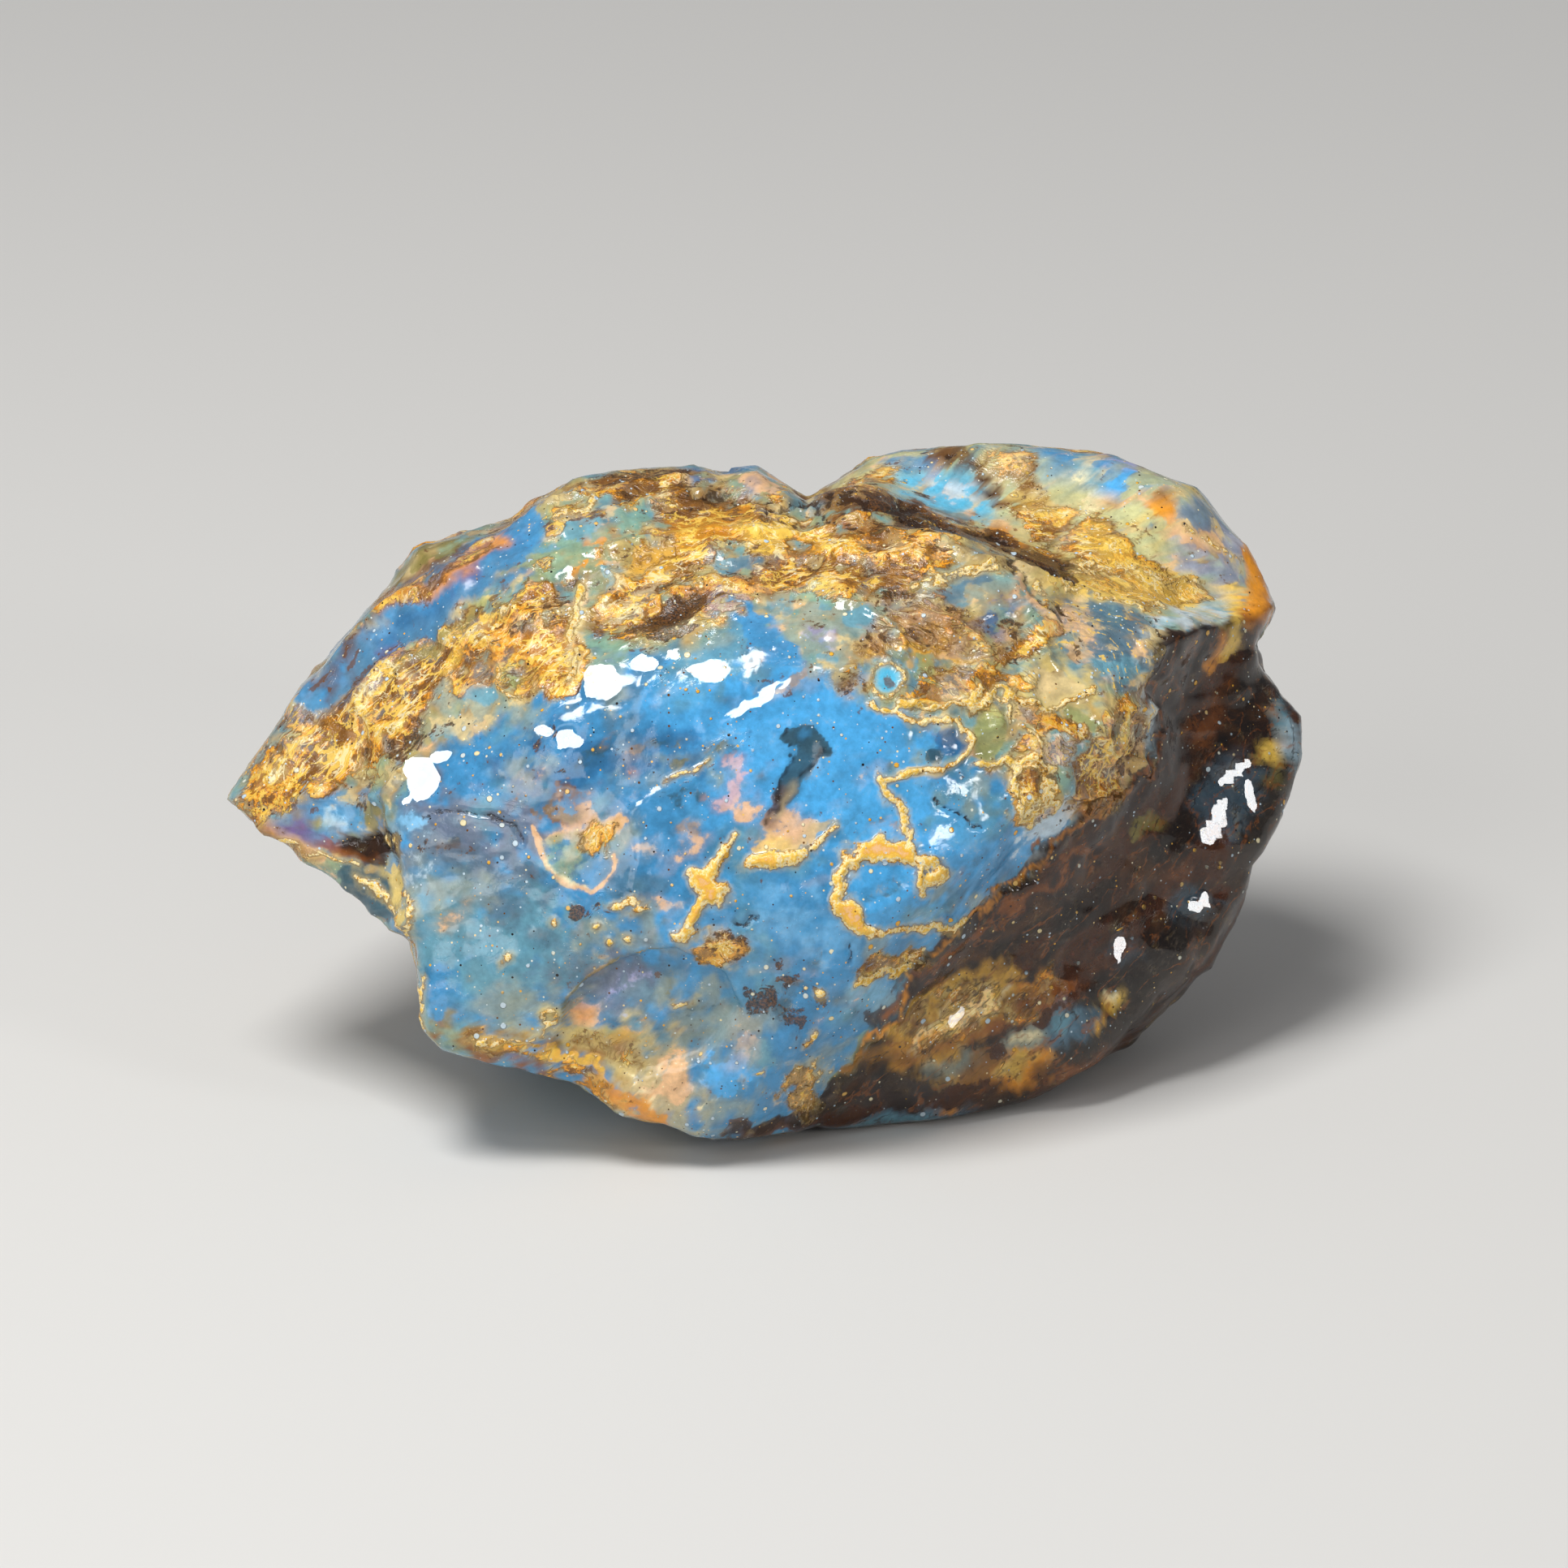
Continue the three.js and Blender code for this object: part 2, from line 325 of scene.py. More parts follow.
MAIN_FACE = several(
    Facet,
    (-2.0, -2.0, 12.8, 100, 84), (-14.0, -3.0, 10.6, 190, 73), (-4.0, -11.0, 10.7, 262, 68),
    (8.0, -2.0, 11.9, 355, 79), (13.0, 1.5, 9.6, 22, 66),
)
CRUST_SLOPES = several(
    Facet,
    (-3.0, 8.5, 8.8, 98, 42), (8.0, 7.0, 9.2, 56, 54), (-14.5, 4.5, 7.6, 138, 48),
    (-4.0, 13.0, 3.2, 95, 26), (-13.5, 10.0, 3.0, 128, 30),
)
LOWER_EDGES = several(
    Facet,
    (-17.0, -5.5, 6.0, 189, 2), (-15.5, -11.5, 5.0, 228, -6), (-10.5, -13.2, 5.0, 250, -10),
    (-3.8, -15.9, 5.0, 258, -12), (3.0, -16.1, 4.0, 270, -8),
)
RIGHT_DROP = several(
    Facet,
    (4.2, -11.6, 9.4, 298, 32), (9.6, -6.0, 9.8, 315, 31), (14.8, 0.0, 7.8, 318, 32),
    (18.4, 5.0, 4.5, 342, 26),
)
OUTLINE = several(
    Facet,
    (-18.4, 8.3, 1.0, 136, -4), (-13.8, 11.5, 1.0, 114, -6), (-8.4, 14.1, 1.0, 106, -6),
    (-3.0, 14.8, 0.0, 92, -4), (12.0, 11.2, 1.5, 70, 14), (23.4, 8.0, -5.0, 14, 2),
    (24.6, -1.0, -5.0, 340, 4), (20.6, -8.4, -3.0, 325, 4), (16.9, -12.1, -2.0, 305, 2),
    (11.0, -15.0, 0.0, 291, -4),
)
HIDDEN_BACK = several(
    Facet,
    (0.0, 0.0, -12.6, 80, -82), (-14.0, 2.0, -9.6, 176, -58), (17.0, -2.0, -9.8, 350, -56),
    (-4.0, 10.0, -10.6, 100, -52), (8.0, 12.0, -9.6, 60, -38), (2.0, -8.0, -11.6, 262, -56),
    (-10.0, -8.0, -9.6, 222, -50),
)
LEFT_TIP = several(
    Facet,
    (-24.9, -0.4, 2.0, 187, 2), (-22.8, 3.9, 1.5, 149, 2), (-18.7, 8.2, 1.0, 137, -2),
    (-20.0, 1.5, 5.2, 172, 62), (-18.0, 5.0, 4.4, 140, 52), (-21.3, -3.0, 2.0, 236, -16),
    (-14.0, -4.0, 0.0, 268, -20), (-12.0, 0.0, 0.0, 350, 30), (-16.0, 8.8, 0.0, 104, -4),
    (-19.0, 0.0, -5.0, 196, -50), (-12.0, 0.0, -8.0, 90, -80),
)
BACK_LOBE = several(
    Facet,
    (2.8, 14.4, -5.0, 124, -6), (5.2, 16.1, -5.0, 104, 2), (11.5, 16.5, -6.0, 89, 2),
    (19.0, 15.4, -6.0, 66, 2), (22.2, 13.0, -6.0, 40, 2), (24.2, 9.8, -5.0, 18, 0),
    (23.9, 7.4, -4.0, 322, 0), (12.0, 12.8, -1.6, 96, 50), (20.6, 11.0, -1.6, 35, 52),
    (18.6, 8.0, 0.8, 340, 68), (10.0, 3.0, -6.0, 270, -30), (1.5, 10.0, -6.0, 190, -36),
    (12.0, 8.0, -12.6, 70, -74), (21.0, 8.0, -9.4, 12, -40), (16.0, 4.0, -9.6, 320, -56),
    (12.0, 14.0, -10.4, 92, -40),
)
GLASSY_FLANK = several(
    Facet,
    (24.5, 4.8, -5.0, 26, 4), (25.1, 1.2, -5.0, 352, 4), (23.7, -3.2, -4.0, 336, 4),
    (20.9, -8.4, -3.0, 326, 4), (17.2, -12.1, -2.0, 306, 2), (11.5, -14.9, 0.0, 291, -4),
    (5.5, -16.2, 1.0, 268, -8), (22.0, 3.0, -1.0, 10, 52), (20.0, -4.0, 1.4, 338, 56),
    (14.0, -10.0, 4.0, 300, 58), (8.0, -13.0, 5.4, 285, 58), (19.0, 7.0, -4.0, 80, 10),
    (2.0, -12.0, -2.0, 200, -10), (4.0, 0.0, -2.0, 135, 10), (12.0, -2.0, -9.0, 330, -70),
    (19.6, -4.0, -7.4, 340, -38), (8.0, -13.0, -6.0, 276, -44),
)
SWELLS = several(
    Swell,
    (1.7, 15.4, -1.5, 2.4, -1.4), (-12.6, 13.4, 1.0, 2.2, -0.9), (24.2, 7.6, -4.0, 1.8, -1.0),
    (23.6, -3.4, -3.0, 1.6, -0.8), (-9.0, -14.2, 4.0, 3.0, -0.8), (1.7, -16.9, 3.0, 1.4, -0.8),
    (9.5, 9.5, 6.5, 3.2, 0.7), (-2.0, -12.0, 12.0, 4.5, -0.5), (-3.0, 3.0, -14.0, 5.5, -1.3),
    (9.0, -7.0, -12.5, 5.0, -1.1),
)


@dataclass(frozen=True)
class Block:
    """A convex block bounded by facets, with its edges worn round."""

    rounding: float
    facets: tuple[Facet, ...]

    def distance(self, points: Array) -> Array:
        """Distance to the block: the soft maximum of the distances to its facets.

        Args:
            points: places in mm.

        Returns:
            Distances in mm, below zero inside.
        """
        planes = np.array([facet.plane() for facet in self.facets])
        width = 0.35 * self.rounding
        away = points @ planes[:, :3].T - planes[:, 3]
        nearest = away.max(1)
        return nearest + width * np.log(np.exp((away - nearest[:, None]) / width).sum(1))


@dataclass(frozen=True)
class Form:
    """The lump's bare form, in its face frame."""

    face_lean: float = 22.0
    rest_drop: float = 13.5
    crease: float = 1.1
    rest_rounding: float = 1.2
    skin_swell: float = 0.12
    reach: float = 25.1
    walk: int = 120
    pace: float = 0.8
    touch: float = 0.0005
    blocks: tuple[Block, ...] = (
        Block(1.1, MAIN_FACE + CRUST_SLOPES + LOWER_EDGES + RIGHT_DROP + OUTLINE + HIDDEN_BACK),
        Block(0.9, LEFT_TIP),
        Block(1.4, BACK_LOBE),
        Block(1.1, GLASSY_FLANK),
    )
    swells: tuple[Swell, ...] = SWELLS

    @staticmethod
    def soft_lower(first: Array, second: Array, width: float) -> Array:
        """The lower of two distances, with a filled crease as wide as the third value where they meet."""
        share = np.clip(0.5 + 0.5 * (second - first) / width, 0, 1)
        return blend(second, first, share) - width * share * (1 - share)

    def height(self, points: Array) -> Array:
        """Upright height above the flat patch that the lump rests on."""
        lean = np.radians(self.face_lean)
        return points[:, 1] * np.cos(lean) + points[:, 2] * np.sin(lean) + self.rest_drop

    def distance(self, points: Array) -> Array:
        """Distance to the skin: the blocks grown together, reshaped by the swells and cut off at the rest.

        Args:
            points: places in mm.

        Returns:
            Distances in mm, below zero inside.
        """
        total = self.blocks[0].distance(points)
        for block in self.blocks[1:]:
            total = self.soft_lower(total, block.distance(points), self.crease)
        total -= self.skin_swell + sum(swell.lift(points) for swell in self.swells)
        return -self.soft_lower(-total, self.height(points), self.rest_rounding)

    def skin(self, directions: Array) -> Array:
        """The outermost skin point along each ray from the heart, found by walking in from clear air.

        Each step goes in by a set share of the distance to the skin, until that is next to nothing.

        Args:
            directions: unit vectors.

        Returns:
            Points in mm.
        """
        reach = np.full(len(directions), 1.3 * self.reach)
        moving = np.arange(len(directions))
        for _ in range(self.walk):
            away = self.distance(directions[moving] * reach[moving, None])
            moving, away = moving[away > self.touch], away[away > self.touch]
            if not len(moving):
                break
            reach[moving] -= self.pace * away
        return directions * reach[:, None]

    def normals(self, points: Array, step: float = 0.12) -> Array:
        """Outward unit normals, from the change of distance over a small step each way.

        Args:
            points: skin points in mm.
            step: the step in mm.

        Returns:
            One normal a point.
        """
        slopes = []
        for axis in range(3):
            shift = np.zeros(3)
            shift[axis] = step
            slopes.append(self.distance(points + shift) - self.distance(points - shift))
        slope = np.stack(slopes, 1)
        return slope / np.linalg.norm(slope, axis=1)[:, None]

    def upright(self, points: Array) -> Array:
        """Turns points of the face frame to stand on the rest patch, still in mm."""
        lean = np.radians(self.face_lean)
        depth = points[:, 1] * np.sin(lean) - points[:, 2] * np.cos(lean)
        return np.stack([points[:, 0], depth, self.height(points)], 1)


# Corners of the broken outline in mm, from the left tip over the top and back below.
SILHOUETTE = (
    (-24.9, -0.4), (-21.6, 4.9), (-18.4, 8.5), (-16.4, 11.1), (-14.2, 11.9), (-12.0, 12.6), (-10.7, 13.5),
    (-9.0, 14.5), (-7.1, 14.9), (-3.3, 15.1), (-1.9, 14.6), (-0.4, 14.9), (2.0, 13.8), (4.9, 15.5),
    (6.4, 15.9), (10.2, 16.1), (13.2, 16.0), (16.5, 15.6), (20.3, 14.2), (22.7, 11.5), (23.9, 8.6),
    (23.0, 6.8), (24.6, 4.5), (25.1, 3.4), (24.2, -1.3), (22.5, -4.4), (20.7, -8.3), (17.7, -11.1),
    (15.4, -12.8), (11.7, -14.5), (7.6, -16.0), (2.3, -15.5), (-1.2, -16.3), (-3.4, -16.0), (-6.8, -14.9),
    (-8.6, -13.7), (-11.7, -12.8), (-14.9, -12.0), (-15.7, -11.2), (-16.5, -7.2), (-19.5, -4.5),
    (-23.0, -2.2),
)


@dataclass(frozen=True)
class Rim:
    """The lump's broken outline square on to its main face, which the skin is drawn out or in to meet."""

    form: Form
    corners: tuple[Point, ...] = SILHOUETTE
    bearings: int = 360
    rises: int = 41
    steepest: float = 62.0
    steps: int = 12
    still: float = 0.4
    settled: float = 1.5

    def own_reach(self) -> tuple[Array, Array]:
        """Finds how far the form's own skin reaches: the farthest over a fan of rays at each bearing.

        Returns:
            Bearings all round the heart, and the reach at each in mm.
        """
        bearing = (np.arange(self.bearings) + 0.5) / self.bearings * 2 * np.pi - np.pi
        rise = np.radians(np.linspace(-self.steepest, self.steepest, self.rises))
        turn, lean = np.meshgrid(bearing, rise, indexing="ij")
        rays = np.stack((np.cos(turn) * np.cos(lean), np.sin(turn) * np.cos(lean), np.sin(lean)), axis=-1)
        skin = self.form.skin(rays.reshape(-1, 3))
        return bearing, np.hypot(skin[:, 0], skin[:, 1]).reshape(turn.shape).max(axis=1)

    def broken_reach(self) -> tuple[Array, Array]:
        """Finds how far out the broken outline lies, along its straight sides.

        Returns:
            Bearings all round the heart in order, and the reach at each in mm.
        """
        ends = np.array(self.corners)
        share = (np.arange(self.steps) / self.steps)[:, None, None]
        along = (ends * (1 - share) + np.roll(ends, -1, axis=0) * share).reshape(-1, 2)
        bearing = np.arctan2(along[:, 1], along[:, 0])
        order = np.argsort(bearing)
        return bearing[order], np.hypot(along[:, 0], along[:, 1])[order]

    def draw(self, points: Array) -> Array:
        """Moves the skin away from the heart or towards it, across the view, more and more towards the rim.

        A point's x and y are scaled by the broken outline's reach over the form's own reach at its bearing.
        The change grows from nothing at a set share of the way out to all of it at the rim, and fades to
        nothing again just above the flat patch that the lump rests on.

        Args:
            points: skin points in mm.

        Returns:
            The moved points.
        """
        bearing = np.arctan2(points[:, 1], points[:, 0])
        own = np.interp(bearing, *self.own_reach(), period=2 * np.pi)
        broken = np.interp(bearing, *self.broken_reach(), period=2 * np.pi)
        share = softstep(self.still, 1.0, np.hypot(points[:, 0], points[:, 1]) / own)
        share *= softstep(0.0, self.settled, self.form.height(points))
        moved = points.copy()
        moved[:, :2] *= (1 + (broken / own - 1) * share)[:, None]
        return moved


# --- the skin's mesh ---


@dataclass(frozen=True)
class Wrap:
    """One side of the box whose six gridded sides wrap the lump, and its place in the flat atlas."""

    axis: int
    side: int
    atlas: tuple[float, float, float, float]


WRAPS = (
    Wrap(2, 1, (0.01, 0.45, 0.79, 0.99)),
    Wrap(0, 0, (0.81, 0.73, 0.99, 0.99)),
    Wrap(0, 1, (0.81, 0.45, 0.99, 0.71)),
    Wrap(2, 0, (0.01, 0.01, 0.59, 0.43)),
    Wrap(1, 1, (0.61, 0.23, 0.99, 0.43)),
    Wrap(1, 0, (0.61, 0.01, 0.99, 0.21)),
)


@dataclass(frozen=True)
class BoxGrid:
    """A box with a grid on each side, spread over the sphere of directions and closer where it leans."""

    steps: tuple[int, int, int] = (190, 130, 70)
    stretch: tuple[float, float, float] = (2.0, 1.35, 1.0)
    lean: tuple[float, float, float] = (0.1, 0.0, 0.32)

    def side(self, wrap: Wrap) -> tuple[Array, Array, Array]:
        """Lattice corners of one side, its quads and their atlas places.

        Args:
            wrap: which side of the box.

        Returns:
            Corners as whole numbers, quads as rows of four corner numbers facing outward, and each corner's
            place.
        """
        first, second = (axis for axis in range(3) if axis != wrap.axis)
        count = (self.steps[first] + 1, self.steps[second] + 1)
        across, up = np.meshgrid(np.arange(count[0]), np.arange(count[1]), indexing="ij")
        corners = np.zeros((*count, 3), int)
        corners[..., first], corners[..., second] = across, up
        corners[..., wrap.axis] = wrap.side * self.steps[wrap.axis]
        number = np.arange(count[0] * count[1]).reshape(count)
        ways = (number[:-1, :-1], number[1:, :-1], number[1:, 1:], number[:-1, 1:])
        quads = np.stack(ways, -1).reshape(-1, 4)
        if (wrap.side == 1) == (wrap.axis == 1):
            quads = quads[:, ::-1]
        left, low, right, high = wrap.atlas
        flat_x = left + (right - left) * across / self.steps[first]
        flat_y = low + (high - low) * up / self.steps[second]
        places = np.stack([flat_x, flat_y], -1)
        return corners.reshape(-1, 3), quads, places.reshape(-1, 2)

    def build(self) -> tuple[Array, Array, Array]:
        """Welds the six sides.

        Returns:
            Unit directions, quads over them, and the atlas place of each quad corner.
        """
        corners, quads, places = [], [], []
        start = 0
        for wrap in WRAPS:
            some_corners, some_quads, some_places = self.side(wrap)
            corners.append(some_corners)
            quads.append(some_quads + start)
            places.append(some_places)
            start += len(some_corners)
        lattice, welded = np.unique(np.concatenate(corners), axis=0, return_inverse=True)
        loose = np.concatenate(quads)
        spread = np.tan((2 * lattice / np.array(self.steps) - 1) * np.pi / 4) * np.array(self.stretch)
        leaned = spread / np.linalg.norm(spread, axis=1)[:, None] + np.array(self.lean)
        directions = leaned / np.linalg.norm(leaned, axis=1)[:, None]
        return directions, welded.reshape(-1)[loose], np.concatenate(places)[loose]


# --- marks on the skin ---


@dataclass(frozen=True)
class Spot:
    """An oval mark: its middle, half sizes and turn in degrees, as seen square on to the main face."""

    ink: Tint | Coat
    x: float
    y: float
    wide: float
    high: float
    turn: float = 0.0
    strength: float = 0.85
    soft: float = 0.3
    loose: float = 1.0

    def depth(self, x: Array, y: Array) -> Array:
        """Measures inwards from the spot's edge: 1 less the oval radius, times the smaller half size.

        Args:
            x: places along the piece, in mm.
            y: places up the face, in mm.

        Returns:
            How far inside each place lies in mm, below zero outside.
        """
        turn = np.radians(self.turn)
        across = (x - self.x) * np.cos(turn) + (y - self.y) * np.sin(turn)
        up = (y - self.y) * np.cos(turn) - (x - self.x) * np.sin(turn)
        return (1 - np.hypot(across / self.wide, up / self.high)) * min(self.wide, self.high)


@dataclass(frozen=True)
class Stain:
    """A wide soft oval in the resin's depth, with a cloudy edge."""

    ink: Tint
    x: float
    y: float
    wide: float
    high: float
    turn: float = 0.0
    strength: float = 0.8
    soft: float = 0.7
    loose: float = 1.8

    def depth(self, x: Array, y: Array) -> Array:
        """How far inside its edge each place lies, as for a spot."""
        return Spot(self.ink, self.x, self.y, self.wide, self.high, self.turn).depth(x, y)


def ring(x: float, y: float, radius: float, sides: int = 12) -> tuple[Point, ...]:
    """Points all round a circle, the first one twice."""
    turn = np.arange(sides + 1) / sides * 2 * np.pi
    return tuple(zip(x + radius * np.cos(turn), y + radius * np.sin(turn)))


@dataclass(frozen=True)
class Line:
    """A mark along a path: its full width and the points it runs through."""

    ink: Tint | Coat
    width: float
    points: tuple[Point, ...]
    strength: float = 0.9
    soft: float = 0.2
    loose: float = 0.5

    def depth(self, x: Array, y: Array) -> Array:
        """Measures inwards from the line's edge: half the width less the distance to the path.

        Args:
            x: places along the piece, in mm.
            y: places up the face, in mm.

        Returns:
            How far inside each place lies in mm, below zero outside.
        """
        nearest = np.full(len(x), 99.0)
        for (x0, y0), (x1, y1) in zip(self.points, self.points[1:]):
            run, rise = x1 - x0, y1 - y0
            share = np.clip(((x - x0) * run + (y - y0) * rise) / (run * run + rise * rise + 1e-9), 0, 1)
            nearest = np.minimum(nearest, np.hypot(x - x0 - share * run, y - y0 - share * rise))
        return self.width / 2 - nearest


Mark = Spot | Stain | Line


def every(kind: type, ink: Tint | Coat, *rows: tuple) -> tuple[Mark, ...]:
    """Marks of one kind and one ink, one for each row of the kind's other values."""
    return tuple(kind(ink, *row) for row in rows)


# Where the milky resin ends, in mm square on to the main face, as for the outlines that follow.
MILK_EDGE = (
    (-16.5, 0.9), (-14.5, 2.3), (-12.0, 3.4), (-9.6, 4.5), (-7.8, 5.9), (-5.5, 6.5), (-3.2, 6.3),
    (-1.6, 7.8), (0.3, 7.2), (1.2, 6.6), (2.4, 5.2), (3.8, 4.5), (5.4, 3.9), (6.8, 3.2), (8.6, 2.0),
    (10.2, 1.4), (11.2, 0.4), (12.2, -0.8), (14.2, -1.2), (14.3, -1.8), (12.7, -3.0), (11.6, -4.4),
    (8.8, -6.4), (6.6, -8.1), (6.8, -9.0), (6.1, -10.5), (4.9, -11.9), (3.7, -12.8), (3.3, -14.0),
    (2.1, -14.9), (0.5, -17.5), (-4.8, -17.5), (-8.4, -14.6), (-12.0, -13.4), (-16.5, -12.4),
    (-17.2, -8.0), (-17.4, -5.0), (-17.8, -2.4),
)
# The crest between the main face and the glassy flank.
RIDGE = (
    (19.1, 7.3), (18.4, 6.1), (18.0, 4.7), (18.4, 3.7), (18.2, 1.9), (17.0, 0.3), (15.1, -0.8),
    (14.3, -1.8), (12.7, -3.0), (11.6, -4.4), (8.8, -6.4), (6.6, -8.1), (6.8, -9.0), (6.1, -10.5),
    (4.9, -11.9), (3.7, -12.8), (3.4, -14.0), (2.1, -14.9), (1.1, -15.2), (-1.6, -15.8),
)
# The clear flank, below that crest.
CLEAR_EDGE = (
    *RIDGE[:-1], (1.0, -19.0), (12.0, -19.0), (24.0, -12.0), (30.0, -4.0), (30.0, 6.9), (22.0, 7.8),
)
# The rounded lobe at the back.
LOBE_EDGE = (
    (1.9, 13.9), (4.8, 13.2), (7.7, 12.6), (10.5, 11.4), (13.3, 10.2), (16.5, 8.9), (19.4, 8.1),
    (22.0, 7.4), (29.0, 8.0), (27.0, 19.0), (2.0, 19.0),
)
# The curved scar low on the main face.
UNDER_ARC = (
    (-10.0, -12.0), (-9.3, -10.7), (-9.1, -9.6), (-8.4, -8.8), (-7.6, -8.3), (-6.6, -7.7), (-5.3, -7.3),
    (-4.1, -7.2), (-1.8, -8.4), (-1.0, -10.2), (-3.0, -12.4), (-6.0, -13.4),
)

# Slow clouds of colour deep in the main face. A row has a mark's values in the order of its class.
FACE_STAINS = (
    *every(Stain, AZURE,
        (2.2, 2.4, 5.2, 2.8, 0, 0.9), (-3.0, 3.4, 2.8, 1.4, 0, 0.6), (4.6, -0.6, 3.4, 2.8, 0, 0.9),
        (-1.8, -0.2, 2.2, 1.4), (5.6, -4.8, 1.9, 1.5, 0, 0.9), (8.8, -2.4, 2.2, 1.6, 30, 0.7),
    ),
    *several(Stain,
        (BLUE, -12.6, 1.6, 2.8, 1.1, 14, 0.9), (BLUE, -5.0, -0.4, 3.4, 1.3, 5, 0.7),
        (DEEP, -6.6, 1.4, 3.6, 1.1, 8, 0.75), (BLUE, 1.0, -5.6, 2.8, 1.6, 0, 0.7),
        (SKY, 1.4, -6.4, 2.6, 0.8, 0, 0.35), (TEAL, -11.6, -7.0, 4.2, 2.4, 0, 0.9),
        (STEEL, -8.4, -7.4, 2.6, 1.3, 0, 0.7), (MIST, -6.2, -6.9, 1.8, 0.8, 0, 0.55),
        (STEEL, -12.6, -4.4, 3.0, 1.3), (HEATHER, -13.4, -2.4, 3.4, 1.7, -8, 0.9),
        (STEEL, -14.0, -3.6, 2.6, 1.4, 0, 0.6), (MIST, -14.8, -5.0, 1.4, 1.0, 0, 0.7),
        (STEEL, -5.6, -9.4, 3.2, 1.0, 12), (HEATHER, -7.4, -9.0, 1.6, 0.7, 20, 0.7),
        (BLUE, -1.6, -9.2, 2.2, 1.4, 0, 0.6), (MIST, -10.4, -10.4, 2.8, 0.9), (MIST, -2.6, -11.2, 2.6, 1.6),
        (SKY, 5.0, -10.0, 1.2, 1.2, 0, 0.5), (BLUE, 2.6, -11.6, 2.2, 1.6, 0, 0.5),
        (BLUE, -0.6, -14.2, 2.6, 1.0, -35), (MIST, 2.8, -13.2, 1.8, 1.0, 0, 0.6),
        (MOSS, -14.2, -11.8, 1.6, 0.8, -10), (WHEAT, -7.4, -12.0, 2.6, 1.3, -20, 0.9),
        (TAN, -4.8, -13.8, 2.2, 1.8, -30, 0.95), (OCHRE, -11.0, -12.2, 2.6, 0.7, -14, 0.9),
        (MIST, -2.8, -14.6, 1.8, 1.2, 0, 0.7), (RUST, -11.6, -12.7, 2.2, 0.35, -14, 0.8, 0.4),
    ),
)
